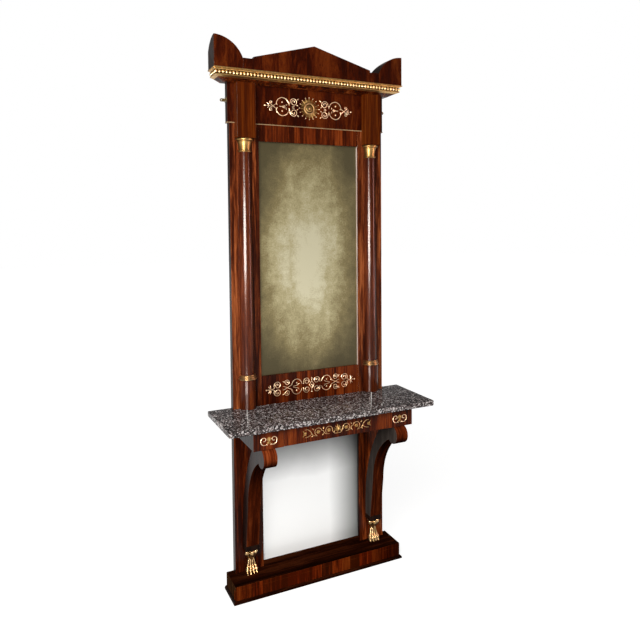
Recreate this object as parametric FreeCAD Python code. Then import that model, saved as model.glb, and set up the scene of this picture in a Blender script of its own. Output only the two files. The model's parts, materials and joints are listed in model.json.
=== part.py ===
import FreeCAD, Part
import math
import os

Vector = FreeCAD.Vector

# A pier mirror that stands on a marble-topped console, in millimetres.
# +X is the viewer's right, the front faces -Y and +Z is up. The origin lies on the floor, in the middle
# of the marble top's outline. Depths are measured from the wall, at +Y, towards the front.

# Marble top
marble_overhang = 111.0
marble_depth = 334.0
marble_thickness = 24.0
marble_top_height = 850.0
marble_corner_radius = 12.0
marble_edge_radius = 3.5

# Plinth box
plinth_overhang = 34.0
plinth_depth = 140.0
plinth_height = 76.0
plinth_board_thickness = 20.0
plinth_top_thickness = 18.0
plinth_block_size = 24.0
plinth_block_lift = 10.0
plinth_moulding_projection = 10.0
plinth_moulding_height = 14.0
plinth_moulding_fillet = 4.0

# Mirror frames: the lower one behind the console, the upper one on the marble
frame_width = 798.0
frame_thickness = 32.0
stile_width = 140.0
lower_bottom_rail_height = 23.0
lower_top_rail_height = 70.0
upper_bottom_rail_height = 138.0
upper_opening_height = 1097.0
upper_top_rail_height = 76.0

# Mirror plates, their slips and the backboards, all let into rebates from the back
frame_lip_thickness = 12.0
plate_rebate_width = 8.0
plate_thickness = 4.0
slip_width = 12.0
backboard_thickness = 8.0
backboard_lap = 18.0
rebate_clearance = 0.5

# Wood screws in the backboards and the wall eyes
screw_shank_radius = 1.75
screw_head_radius = 3.5
screw_head_height = 2.0
screw_length = 22.0
screw_hole_clearance = 0.15
stile_screw_shares = (0.06, 0.35, 0.65, 0.94)
rail_screw_shares = (-0.5, 0.5)

# Scroll legs, with an ankle block and a lion's paw under each
leg_width = 62.0
leg_foot_depth = 48.0
leg_shank_height = 199.0
leg_shank_depth = 77.0
leg_rear_straight_height = 75.0
leg_rear_reach = 180.0
roll_radius = 42.0
roll_turn_share = 0.62
roll_front_setback = 4.0
ankle_block_height = 24.0
ankle_block_overhang = 1.5
paw_width = 62.0
paw_depth = 48.0
paw_height = 115.0
paw_height_shares = (0.0, 0.18, 0.42, 0.62, 0.92, 1.0)
paw_width_shares = (0.86, 0.84, 0.62, 0.64, 0.96, 1.0)
paw_depth_shares = (0.76, 0.74, 0.62, 0.64, 0.96, 1.0)
toe_count = 4
toe_radius = 8.5
toe_lift_share = 0.85
toe_spread_share = 0.96

# Apron under the marble
apron_side_setback = 1.0
apron_height = 82.0
apron_front_setback = 27.0
apron_block_depth = 100.0
apron_rail_thickness = 22.0

# Concealed drawer between the two apron blocks
drawer_gap = 1.5
drawer_front_thickness = 20.0
drawer_side_thickness = 10.0
drawer_back_thickness = 10.0
drawer_bottom_thickness = 6.0
drawer_bottom_lift = 4.0
drawer_groove_depth = 4.0
drawer_headroom = 6.0
drawer_rear_room = 16.0
drawer_stop_gap = 0.5
runner_width = 18.0
runner_height = 10.0
runner_gap = 0.3
guide_width = 16.0
guide_height = 30.0
stop_width = 30.0
stop_height = 24.0

# Half columns in front of the upper stiles
pedestal_radius = 40.0
pedestal_height = 136.0
shaft_bottom_radius = 33.0
shaft_top_radius = 27.0
sleeve_gap = 0.4
base_ring_radius = 42.0
base_ring_height = 23.0
base_ring_lip = 37.0
capital_height = 62.0
capital_ring_radius = 31.0
capital_ring_height = 8.0
capital_neck_wall = 1.6
capital_rim_radius = 42.0
capital_rim_height = 7.0
bell_neck_share = 0.45
dosseret_width = 88.0
dosseret_height = 247.0
dosseret_projection = 40.0

# Frieze, with the thin string under it
frieze_overhang = 7.0
frieze_height = 175.0
fillet_height = 4.0
fillet_projection = 2.0

# Cornice and pediment
bed_mould_height = 14.0
bed_mould_foot_inset = 55.0
cornice_overhang = 78.0
cornice_depth = 98.0
cornice_height = 38.0
gilt_recess = 26.0
gilt_reach = 40.0
gilt_lip_share = 0.14
gilt_cove_inset_share = 0.40
gilt_cove_share = 0.36
gilt_bead_share = 0.34
pediment_setback = 2.0
pediment_thickness = 24.0
pediment_height = 138.0
pediment_flat_height = 48.0
gable_width = 600.0
gable_step = 9.0
ear_width = 132.0
ear_back_drop = 58.0
brace_width = 30.0
brace_depth = 40.0
brace_height = 36.0
brace_place_shares = (-0.62, 0.0, 0.62)

# Brass wall eyes on the sides of the frieze
eye_height = 24.0
eye_plate_depth = 24.0
eye_plate_thickness = 2.0
eye_tongue_thickness = 4.0
eye_tongue_width = 14.0
eye_tongue_reach = 18.0
eye_hole_radius = 2.75
eye_drop = 74.0
eye_screw_share = 0.30

# Gilt brass mounts, thin plates on the show wood
mount_thickness = 3.0
mount_stem_height = 5.0
mount_ring_bore_share = 0.55
frieze_mount_margin = 53.0
frieze_mount_height = 62.0
sun_radius = 52.0
sun_disc_share = 0.62
sun_ray_count = 22
rail_mount_margin = 17.0
rail_mount_height = 78.0
apron_mount_margin = 88.0
apron_mount_height = 52.0
end_mount_margin = 27.5
end_mount_height = 44.0
# each ring: place along the half width, place up the half height, radius as a share of the half height
frieze_ring_shares = ((0.36, 0.42, 0.46), (0.56, 0.30, 0.50), (0.76, 0.34, 0.42), (0.92, 0.0, 0.26))
rail_ring_shares = ((0.12, 0.50, 0.44), (0.36, 0.34, 0.50), (0.60, 0.40, 0.46), (0.80, 0.34, 0.36),
                    (0.95, 0.0, 0.24))
apron_ring_shares = ((0.0, 0.36, 0.52), (0.30, 0.30, 0.56), (0.58, 0.28, 0.52), (0.86, 0.10, 0.48))
end_ring_shares = ((0.0, 0.40, 0.54), (0.62, 0.06, 0.62))

# Places worked out from the sizes above
wall_y = marble_depth / 2
marble_bottom = marble_top_height - marble_thickness
apron_bottom = marble_bottom - apron_height
apron_front = marble_depth - apron_front_setback
frame_half = frame_width / 2
marble_half = frame_half + marble_overhang
apron_half = frame_half - apron_side_setback
frieze_half = frame_half + frieze_overhang
cornice_half = frieze_half + cornice_overhang
opening_half = frame_half - stile_width
column_x = frame_half - stile_width / 2
ankle_bottom = plinth_height + paw_height
leg_bottom = ankle_bottom + ankle_block_height
lower_opening_bottom = plinth_height + lower_bottom_rail_height
lower_opening_top = marble_bottom - lower_top_rail_height
upper_opening_bottom = marble_top_height + upper_bottom_rail_height
upper_opening_top = upper_opening_bottom + upper_opening_height
upper_frame_top = upper_opening_top + upper_top_rail_height
frieze_bottom = upper_frame_top + fillet_height
frieze_top = frieze_bottom + frieze_height
cornice_bottom = frieze_top + bed_mould_height
cornice_top = cornice_bottom + cornice_height
column_top = frieze_top - dosseret_height
pediment_front = cornice_depth - pediment_setback
ear_outer = cornice_half - pediment_setback
ear_inner = ear_outer - ear_width


def out(depth):
    """The y of a point that stands this far in front of the wall."""
    return wall_y - depth


def block(x0, x1, d0, d1, z0, z1):
    """A squared piece between two widths, two depths from the wall and two heights."""
    return Part.makeBox(x1 - x0, d1 - d0, z1 - z0, Vector(x0, out(d1), z0))


def line(a, b):
    return Part.makeLine(a, b)


def arc(a, middle, b):
    return Part.Arc(a, middle, b).toShape()


def bow(aside, along):
    """An arc that sets off straight along and ends that far aside: the two offsets of its middle point."""
    radius = (aside ** 2 + along ** 2) / (2 * aside)
    half_turn = math.atan2(aside, along)
    return radius * (1 - math.cos(half_turn)), radius * math.sin(half_turn)


def prism(edges, sweep):
    """A closed outline pushed along a straight sweep."""
    return Part.Face(Part.Wire(edges)).extrude(sweep)


def polygon(points):
    return Part.makePolygon(list(points) + [points[0]]).Edges


def mirrored(shape):
    return shape.mirror(Vector(0, 0, 0), Vector(1, 0, 0))


def pair(shape):
    """The right-hand piece with its left-hand twin, as two solids."""
    return Part.makeCompound([mirrored(shape), shape])


def save(name, shape):
    for solid in shape.Solids:
        if not solid.isValid() or solid.Volume <= 0:
            raise ValueError(name + " is not a sound solid")
    shape.exportStep("parts/" + name + ".step")


def save_sides(name, right):
    save(name + "_right", right)
    save(name + "_left", mirrored(right))


def round_pin(x, z, depth, length, radius):
    """A cylinder that starts at a depth and runs towards the front."""
    return Part.makeCylinder(radius, length, Vector(x, out(depth), z), Vector(0, -1, 0))


def back_screw(x, z, clearance=0.0):
    """A screw driven from the back, its head flush; with a clearance it is the hole for one."""
    head = round_pin(x, z, 0, screw_head_height + clearance, screw_head_radius + clearance)
    shank = round_pin(x, z, 0, screw_length + clearance, screw_shank_radius + clearance)
    return head.fuse(shank).removeSplitter()


# Mitred mouldings
def mitred_front(profile, half_width, depth, reach, low, high):
    """A moulding across the front, mitred at both ends; profile gives its outline as insets and heights."""
    edges = profile(lambda inset, z: Vector(-half_width, out(depth - inset), z))
    bar = prism(edges, Vector(half_width * 2, 0, 0))
    plan = [Vector(-half_width, out(depth), low), Vector(half_width, out(depth), low),
            Vector(half_width - reach, out(depth - reach), low),
            Vector(reach - half_width, out(depth - reach), low)]
    return bar.common(prism(polygon(plan), Vector(0, 0, high - low)))


def mitred_return(profile, half_width, depth, reach, low, high):
    """The same moulding down the right side, back to the wall."""
    edges = profile(lambda inset, z: Vector(half_width - inset, wall_y, z))
    bar = prism(edges, Vector(0, -depth, 0))
    plan = [Vector(half_width, wall_y, low), Vector(half_width, out(depth), low),
            Vector(half_width - reach, out(depth - reach), low), Vector(half_width - reach, wall_y, low)]
    return bar.common(prism(polygon(plan), Vector(0, 0, high - low)))


def plinth():
    half = frame_half + plinth_overhang
    board = plinth_board_thickness
    under_top = plinth_height - plinth_top_thickness
    save("plinth_front", block(-half, half, plinth_depth - board, plinth_depth, 0, under_top))
    save("plinth_ends", pair(block(half - board, half, 0, plinth_depth - board, 0, under_top)))
    save("plinth_back_rail", block(board - half, half - board, 0, board, 0, under_top))
    save("plinth_top", block(-half, half, 0, plinth_depth, under_top, plinth_height))

    inner = half - board
    size = plinth_block_size
    front = plinth_depth - board
    corner = [block(inner - size, inner, d, d + size, plinth_block_lift, under_top)
              for d in (board, front - size)]
    save("plinth_corner_blocks", pair(Part.makeCompound(corner)))

    def ovolo(at):
        projection = plinth_moulding_projection
        rise = plinth_moulding_height - plinth_moulding_fillet
        bend = math.radians(45)
        crown = at(projection * (1 - math.cos(bend)), plinth_moulding_fillet + rise * math.sin(bend))
        foot, wall = at(0, 0), at(projection, 0)
        shoulder, top = at(0, plinth_moulding_fillet), at(projection, plinth_moulding_height)
        return [line(foot, shoulder), arc(shoulder, crown, top), line(top, wall), line(wall, foot)]

    outer = half + plinth_moulding_projection
    depth = plinth_depth + plinth_moulding_projection
    strip = (ovolo, outer, depth, plinth_moulding_projection, 0, plinth_moulding_height)
    save("plinth_moulding_front", mitred_front(*strip))
    save("plinth_moulding_returns", pair(mitred_return(*strip)))


def mirror_frame(name, bottom, opening_bottom, opening_top, top):
    """Stiles, rails, the plate in its rebate, the slips behind it and the backboard; gives its screws."""
    plate_front = frame_thickness - frame_lip_thickness
    plate_back = plate_front - plate_thickness

    def pocket(margin, d0, d1, clearance=0.0):
        grow = margin - clearance
        half = opening_half + grow
        return block(-half, half, d0, d1, opening_bottom - grow, opening_top + grow)

    plate_pocket = pocket(plate_rebate_width, backboard_thickness, plate_front)
    board_pocket = pocket(backboard_lap, 0, backboard_thickness)
    backboard = pocket(backboard_lap, 0, backboard_thickness, rebate_clearance)

    lap_middle = (plate_rebate_width + backboard_lap) / 2
    screw_x = opening_half + lap_middle
    opening_height = opening_top - opening_bottom
    places = [(side * screw_x, opening_bottom + share * opening_height)
              for side in (-1, 1) for share in stile_screw_shares]
    places += [(share * opening_half, z) for share in rail_screw_shares
               for z in (opening_bottom - lap_middle, opening_top + lap_middle)]
    screws = [back_screw(x, z) for x, z in places]
    holes = Part.makeCompound([back_screw(x, z, screw_hole_clearance) for x, z in places])

    def rebated(member):
        return member.cut(plate_pocket).cut(board_pocket).cut(holes)

    stile = block(opening_half, frame_half, 0, frame_thickness, bottom, top)
    save(name + "_stile_right", rebated(stile))
    save(name + "_stile_left", rebated(mirrored(stile)))
    rail = (-opening_half, opening_half, 0, frame_thickness)
    save(name + "_bottom_rail", rebated(block(*rail, bottom, opening_bottom)))
    save(name + "_top_rail", rebated(block(*rail, opening_top, top)))
    save(name + "_backboard", backboard.cut(holes))
    save(name + "_mirror_plate", pocket(plate_rebate_width, plate_back, plate_front, rebate_clearance))

    reach = plate_rebate_width - rebate_clearance
    half = opening_half + reach
    low, high = opening_bottom - reach, opening_top + reach
    inner = half - slip_width
    upright = block(inner, half, backboard_thickness, plate_back, low, high)
    crosswise = [block(-inner, inner, backboard_thickness, plate_back, z, z + slip_width)
                 for z in (low, high - slip_width)]
    save(name + "_glazing_slips", Part.makeCompound([upright, mirrored(upright)] + crosswise))
    return screws


def scroll_leg():
    """The right leg: a bracket off the frame that arches forward and ends in a roll under the apron."""
    inner = column_x - leg_width / 2

    def at(point):
        return Vector(inner, out(point[0]), point[1])

    def on_roll(share):
        turned = 2 * math.pi * roll_turn_share * share
        return (roll[0] + roll_radius * math.sin(turned), roll[1] + roll_radius * math.cos(turned))

    rear = frame_thickness
    roll = (marble_depth - roll_front_setback - roll_radius, apron_bottom - roll_radius)
    roll_top, roll_under, cusp = on_roll(0), on_roll(1 / 2), on_roll(1)
    arch_start = (rear + leg_shank_depth, leg_bottom + leg_shank_height)
    aside, along = bow(cusp[0] - arch_start[0], cusp[1] - arch_start[1])
    arch_middle = (arch_start[0] + aside, arch_start[1] + along)

    bend_start = (rear, leg_bottom + leg_rear_straight_height)
    rear_top = (rear + leg_rear_reach, apron_bottom)
    aside, along = bow(leg_rear_reach, apron_bottom - bend_start[1])
    rear_middle = (rear + aside, bend_start[1] + along)

    heel = (rear, leg_bottom)
    toe = (rear + leg_foot_depth, leg_bottom)
    edges = [line(at(heel), at(bend_start)), arc(at(bend_start), at(rear_middle), at(rear_top)),
             line(at(rear_top), at(roll_top)), arc(at(roll_top), at(roll_under), at(cusp)),
             arc(at(cusp), at(arch_middle), at(arch_start)), line(at(arch_start), at(toe)),
             line(at(toe), at(heel))]
    return prism(edges, Vector(leg_width, 0, 0))


def paw():
    """A lion's paw: rounded toes, a slim ankle and a flared cuff, flat against the frame."""
    sections = []
    for height, width, depth in zip(paw_height_shares, paw_width_shares, paw_depth_shares):
        half = paw_width * width / 2
        z = plinth_height + paw_height * height
        rear, front = out(frame_thickness), out(frame_thickness + paw_depth * depth)
        corners = [Vector(column_x - half, rear, z), Vector(column_x + half, rear, z),
                   Vector(column_x + half, front, z), Vector(column_x - half, front, z)]
        sections.append(Part.makePolygon(corners + corners[:1]))
    shank = Part.makeLoft(sections, True, True)

    reach = paw_depth - toe_radius
    lift = plinth_height + toe_radius * toe_lift_share
    pitch = (paw_width * toe_spread_share - toe_radius * 2) / (toe_count - 1)
    toes = []
    for toe in range(toe_count):
        x = column_x + (toe - (toe_count - 1) / 2) * pitch
        toes.append(round_pin(x, lift, frame_thickness, reach, toe_radius))
        toes.append(Part.makeSphere(toe_radius, Vector(x, out(frame_thickness + reach), lift)))
    ground = block(column_x - paw_width, column_x + paw_width, 0, marble_depth, 0, plinth_height)
    return shank.multiFuse(toes).cut(ground).removeSplitter()


def legs():
    save_sides("scroll_leg", scroll_leg())
    half = leg_width / 2 + ankle_block_overhang
    front = frame_thickness + leg_foot_depth + ankle_block_overhang
    ankle = block(column_x - half, column_x + half, frame_thickness, front, ankle_bottom, leg_bottom)
    save("ankle_blocks", pair(ankle))
    save("paw_feet", pair(paw()))


def apron():
    outer = apron_half
    block_back = apron_front - apron_block_depth
    rail = apron_rail_thickness
    back_face = frame_thickness + rail
    heights = (apron_bottom, marble_bottom)
    save_sides("apron_end_block", block(opening_half, outer, block_back, apron_front, *heights))
    save("apron_side_rails", pair(block(outer - rail, outer, frame_thickness, block_back, *heights)))
    save("apron_back_rail", block(rail - outer, outer - rail, frame_thickness, back_face, *heights))

    front_back = apron_front - drawer_front_thickness
    runner_top = apron_bottom + runner_height
    save("drawer_runners", pair(block(opening_half - runner_width, opening_half, back_face, front_back,
                                      apron_bottom, runner_top)))
    save("drawer_guides", pair(block(opening_half, opening_half + guide_width, back_face, block_back,
                                     apron_bottom, apron_bottom + guide_height)))
    side = opening_half - drawer_gap
    drawer_rear = back_face + drawer_rear_room
    stop = block(side / 2, side / 2 + stop_width, back_face, drawer_rear - drawer_stop_gap,
                 marble_bottom - drawer_headroom - stop_height, marble_bottom - drawer_headroom)
    save("drawer_stops", pair(stop))

    side_bottom = runner_top + runner_gap
    side_top = marble_bottom - drawer_headroom
    inside = side - drawer_side_thickness
    bottom_low = side_bottom + drawer_bottom_lift
    bottom_high = bottom_low + drawer_bottom_thickness
    board_half = inside + drawer_groove_depth
    board = block(-board_half, board_half, drawer_rear, front_back + drawer_groove_depth,
                  bottom_low, bottom_high)
    front = block(-side, side, front_back, apron_front,
                  apron_bottom + drawer_gap, marble_bottom - drawer_gap)
    save("drawer_front", front.cut(board))
    side_board = block(inside, side, drawer_rear, front_back, side_bottom, side_top)
    save_sides("drawer_side", side_board.cut(board))
    save("drawer_back", block(-inside, inside, drawer_rear, drawer_rear + drawer_back_thickness,
                              bottom_high, side_top))
    save("drawer_bottom", board)


def marble():
    slab = block(-marble_half, marble_half, 0, marble_depth, marble_bottom, marble_top_height)
    edges = [edge for edge in slab.Edges if edge.CenterOfMass.y < wall_y - marble_corner_radius]
    upright = [edge for edge in edges if edge.Vertexes[0].Z != edge.Vertexes[-1].Z]
    slab = slab.makeFillet(marble_corner_radius, upright)
    level = [edge for edge in slab.Edges if edge.BoundBox.ZLength < marble_edge_radius]
    rims = [edge for edge in level if edge.CenterOfMass.y < wall_y - marble_edge_radius]
    save("marble_top", slab.makeFillet(marble_edge_radius, rims))


def half_turned(edges):
    """An outline beside the column's axis, turned through the half circle in front of the stile."""
    face = Part.Face(Part.Wire(edges))
    return face.revolve(Vector(column_x, out(frame_thickness), 0), Vector(0, 0, 1), -180)


def columns():
    def at(radius, z):
        return Vector(column_x + radius, out(frame_thickness), z)

    foot = marble_top_height
    shaft_foot = foot + pedestal_height

    def shaft_radius(z):
        share = (z - shaft_foot) / (column_top - shaft_foot)
        return shaft_bottom_radius + share * (shaft_top_radius - shaft_bottom_radius)

    drum = polygon([at(0, foot), at(pedestal_radius, foot), at(pedestal_radius, shaft_foot),
                    at(0, shaft_foot)])
    save("column_pedestals", pair(half_turned(drum)))
    shaft = polygon([at(0, shaft_foot), at(shaft_bottom_radius, shaft_foot),
                     at(shaft_top_radius, column_top), at(0, column_top)])
    save("column_shafts", pair(half_turned(shaft)))

    ring_top = shaft_foot + base_ring_height
    bore = shaft_bottom_radius + sleeve_gap
    bulge = at(base_ring_radius, shaft_foot + base_ring_height / 2)
    ring = [line(at(bore, shaft_foot), at(base_ring_lip, shaft_foot)),
            arc(at(base_ring_lip, shaft_foot), bulge, at(base_ring_lip, ring_top)),
            line(at(base_ring_lip, ring_top), at(bore, ring_top)),
            line(at(bore, ring_top), at(bore, shaft_foot))]
    save("column_base_rings", pair(half_turned(ring)))

    capital_foot = column_top - capital_height
    bore = shaft_radius(capital_foot) + sleeve_gap
    neck = bore + capital_neck_wall
    neck_foot = capital_foot + capital_ring_height
    rim_foot = column_top - capital_rim_height
    bell_foot = neck_foot + (rim_foot - neck_foot) * bell_neck_share
    aside, along = bow(capital_rim_radius - neck, rim_foot - bell_foot)
    bell = [line(at(bore, capital_foot), at(capital_ring_radius, capital_foot)),
            line(at(capital_ring_radius, capital_foot), at(capital_ring_radius, neck_foot)),
            line(at(capital_ring_radius, neck_foot), at(neck, neck_foot)),
            line(at(neck, neck_foot), at(neck, bell_foot)),
            arc(at(neck, bell_foot), at(neck + aside, bell_foot + along), at(capital_rim_radius, rim_foot)),
            line(at(capital_rim_radius, rim_foot), at(capital_rim_radius, column_top)),
            line(at(capital_rim_radius, column_top), at(bore, column_top)),
            line(at(bore, column_top), at(bore, capital_foot))]
    save("column_capitals", pair(half_turned(bell)))

    half = dosseret_width / 2
    front = frame_thickness + dosseret_projection
    dosseret = block(column_x - half, column_x + half, frame_thickness, front, column_top, frieze_top)
    save("dosserets", pair(dosseret))


def wall_eye():
    """A brass plate on the frieze's right side, with a drilled tongue along the wall for a wall screw."""
    side = frieze_half
    middle = frieze_top - eye_drop
    rise = eye_height / 2
    plate = block(side, side + eye_plate_thickness, 0, eye_plate_depth, middle - rise, middle + rise)
    half = eye_tongue_width / 2
    hole_x = side + eye_tongue_reach
    tongue = block(side, hole_x, 0, eye_tongue_thickness, middle - half, middle + half)
    tip = round_pin(hole_x, middle, 0, eye_tongue_thickness, half)
    hole = round_pin(hole_x, middle, 0, eye_tongue_thickness, eye_hole_radius)
    return plate.fuse(tongue).fuse(tip).removeSplitter().cut(hole)


def eye_screws(clearance=0.0):
    """Two screws through the right eye's plate into the frieze, or with a clearance their holes."""
    start = frieze_half + eye_plate_thickness
    middle = frieze_top - eye_drop
    depth = (eye_tongue_thickness + eye_plate_depth) / 2
    screws = []
    for sign in (-1, 1):
        seat = Vector(start, out(depth), middle + sign * eye_height * eye_screw_share)
        inward = Vector(-1, 0, 0)
        head = Part.makeCylinder(screw_head_radius, screw_head_height, seat, Vector(1, 0, 0))
        shank = Part.makeCylinder(screw_shank_radius + clearance, screw_length + clearance, seat, inward)
        screws.append(shank if clearance else head.fuse(shank))
    return Part.makeCompound(screws)


def frieze():
    holes = eye_screws(screw_hole_clearance)
    board = block(-frieze_half, frieze_half, 0, frame_thickness, frieze_bottom, frieze_top)
    save("frieze_board", board.cut(holes).cut(mirrored(holes)))
    save("wall_eyes", pair(wall_eye().cut(holes)))

    front = frame_thickness + fillet_projection
    gap = dosseret_width / 2
    middle = block(gap - column_x, column_x - gap, 0, front, upper_frame_top, frieze_bottom)
    wing_end = frieze_half + fillet_projection
    wing = block(column_x + gap, wing_end, 0, front, upper_frame_top, frieze_bottom)
    save("frieze_fillet", Part.makeCompound([middle, wing, mirrored(wing)]))


def cornice():
    def outline(inset, z):
        half = cornice_half - inset
        front = out(cornice_depth - inset)
        corners = [Vector(-half, wall_y, z), Vector(half, wall_y, z), Vector(half, front, z),
                   Vector(-half, front, z)]
        return Part.makePolygon(corners + corners[:1])

    sections = [outline(bed_mould_foot_inset, frieze_top), outline(gilt_recess, cornice_bottom)]
    save("cornice_bed_mould", Part.makeLoft(sections, True, True))
    half = cornice_half - gilt_reach
    save("cornice_core", block(-half, half, 0, cornice_depth - gilt_reach, cornice_bottom, cornice_top))

    def gilt(at):
        lip = cornice_top - cornice_height * gilt_lip_share
        cove = cornice_top - cornice_height * gilt_cove_share
        bead = cove - cornice_height * gilt_bead_share
        shelf = gilt_recess * gilt_cove_inset_share
        bead_radius = (cove - bead) / 2
        slant = math.sin(math.radians(45))
        hollow = at(shelf * slant, cove + (lip - cove) * slant)
        crown = at(shelf - bead_radius, (cove + bead) / 2)
        edge_top, edge_foot = at(0, cornice_top), at(0, lip)
        cove_foot, bead_foot = at(shelf, cove), at(shelf, bead)
        foot, inner_foot = at(gilt_recess, cornice_bottom), at(gilt_reach, cornice_bottom)
        inner_top = at(gilt_reach, cornice_top)
        return [line(edge_top, edge_foot), arc(edge_foot, hollow, cove_foot),
                arc(cove_foot, crown, bead_foot), line(bead_foot, foot), line(foot, inner_foot),
                line(inner_foot, inner_top), line(inner_top, edge_top)]

    strip = (gilt, cornice_half, cornice_depth, gilt_reach, cornice_bottom, cornice_top)
    save("gilt_cornice_front", mitred_front(*strip))
    save("gilt_cornice_returns", pair(mitred_return(*strip)))


def pediment():
    def at(x, z):
        return Vector(x, out(pediment_front), cornice_top + z)

    back = Vector(0, pediment_thickness, 0)
    gable_half = gable_width / 2
    eaves = pediment_flat_height + gable_step
    outline = [at(-ear_inner, 0), at(ear_inner, 0), at(ear_inner, pediment_flat_height),
               at(gable_half, pediment_flat_height), at(gable_half, eaves), at(0, pediment_height),
               at(-gable_half, eaves), at(-gable_half, pediment_flat_height),
               at(-ear_inner, pediment_flat_height)]
    save("pediment_board", prism(polygon(outline), back))

    board_back = pediment_front - pediment_thickness
    braces = [block(share * ear_inner - brace_width / 2, share * ear_inner + brace_width / 2,
                    board_back - brace_depth, board_back, cornice_top, cornice_top + brace_height)
              for share in brace_place_shares]
    save("pediment_braces", Part.makeCompound(braces))

    aside, along = bow(pediment_height - pediment_flat_height, ear_width)
    crown = at(ear_outer - along, pediment_height - aside)
    peak, inner_top = at(ear_outer, pediment_height), at(ear_inner, pediment_flat_height)
    inner_foot, outer_foot = at(ear_inner, 0), at(ear_outer, 0)
    front = [line(inner_foot, outer_foot), line(outer_foot, peak), arc(peak, crown, inner_top),
             line(inner_top, inner_foot)]
    front_form = prism(front, Vector(0, pediment_front, 0))

    def beside(depth, z):
        return Vector(ear_inner, out(depth), cornice_top + z)

    aside, along = bow(ear_back_drop, pediment_front)
    crest = beside(pediment_front - along, pediment_height - aside)
    peak, rear = beside(pediment_front, pediment_height), beside(0, pediment_height - ear_back_drop)
    front_foot, rear_foot = beside(pediment_front, 0), beside(0, 0)
    side = [line(rear_foot, front_foot), line(front_foot, peak), arc(peak, crest, rear),
            line(rear, rear_foot)]
    side_form = prism(side, Vector(ear_width, 0, 0))
    save_sides("pediment_ear", front_form.common(side_form))


def ornament(left, right, centre_z, depth, height, ring_shares):
    """A flat scrolled mount: rings in mirrored places about a stem, joined into one plate."""
    half = (right - left) / 2
    centre_x = (left + right) / 2
    rise = height / 2
    stem = block(left, right, depth, depth + mount_thickness,
                 centre_z - mount_stem_height / 2, centre_z + mount_stem_height / 2)
    discs, bores = [], []
    for along, up, radius in ring_shares:
        for x in sorted({centre_x - along * half, centre_x + along * half}):
            for z in sorted({centre_z - up * rise, centre_z + up * rise}):
                discs.append(round_pin(x, z, depth, mount_thickness, radius * rise))
                bores.append(round_pin(x, z, depth, mount_thickness, radius * rise * mount_ring_bore_share))
    pierced = stem.multiFuse(discs).cut(Part.makeCompound(bores))
    return pierced.fuse(stem).removeSplitter()


def sunburst(centre_z, depth):
    """The pointed rays round a disc at the middle of the frieze mount."""
    corners = []
    for step in range(2 * sun_ray_count):
        radius = sun_radius if step % 2 else sun_radius * sun_disc_share
        angle = math.pi * step / sun_ray_count
        corners.append(Vector(radius * math.cos(angle), out(depth), centre_z + radius * math.sin(angle)))
    return prism(polygon(corners), Vector(0, -mount_thickness, 0))


def mounts():
    middle = (frieze_bottom + frieze_top) / 2
    half = column_x - dosseret_width / 2 - frieze_mount_margin
    scrolls = ornament(-half, half, middle, frame_thickness, frieze_mount_height, frieze_ring_shares)
    save("frieze_mount", scrolls.fuse(sunburst(middle, frame_thickness)).removeSplitter())

    middle = (marble_top_height + upper_opening_bottom) / 2
    half = opening_half - rail_mount_margin
    scrolls = ornament(-half, half, middle, frame_thickness, rail_mount_height, rail_ring_shares)
    save("lower_rail_mount", scrolls)

    middle = (apron_bottom + marble_bottom) / 2
    half = opening_half - apron_mount_margin
    scrolls = ornament(-half, half, middle, apron_front, apron_mount_height, apron_ring_shares)
    save("apron_centre_mount", scrolls)
    ends = (opening_half + end_mount_margin, apron_half - end_mount_margin)
    save("apron_end_mounts", pair(ornament(*ends, middle, apron_front, end_mount_height, end_ring_shares)))


os.makedirs("parts", exist_ok=True)
plinth()
lower_heights = (plinth_height, lower_opening_bottom, lower_opening_top, marble_bottom)
upper_heights = (marble_top_height, upper_opening_bottom, upper_opening_top, upper_frame_top)
back_screws = mirror_frame("lower", *lower_heights) + mirror_frame("upper", *upper_heights)
save("wood_screws", Part.makeCompound(back_screws + [pair(eye_screws())]))
legs()
apron()
marble()
columns()
frieze()
cornice()
pediment()
mounts()
print("overall", marble_half * 2, marble_depth, cornice_top + pediment_height)
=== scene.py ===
# %% [markdown]
# # A pier mirror on a marble console
#
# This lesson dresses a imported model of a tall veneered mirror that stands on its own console. The packed
# model gives every piece its place, so nothing here is fitted by eye: a piece is a copy of its plain
# solid with softened edges, or a new mesh that takes the solid's box. Lengths are metres, the front
# faces -Y and the floor is Z = 0.

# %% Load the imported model
import json
import math
import bmesh
import bpy
from mathutils import Matrix, Vector

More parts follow.
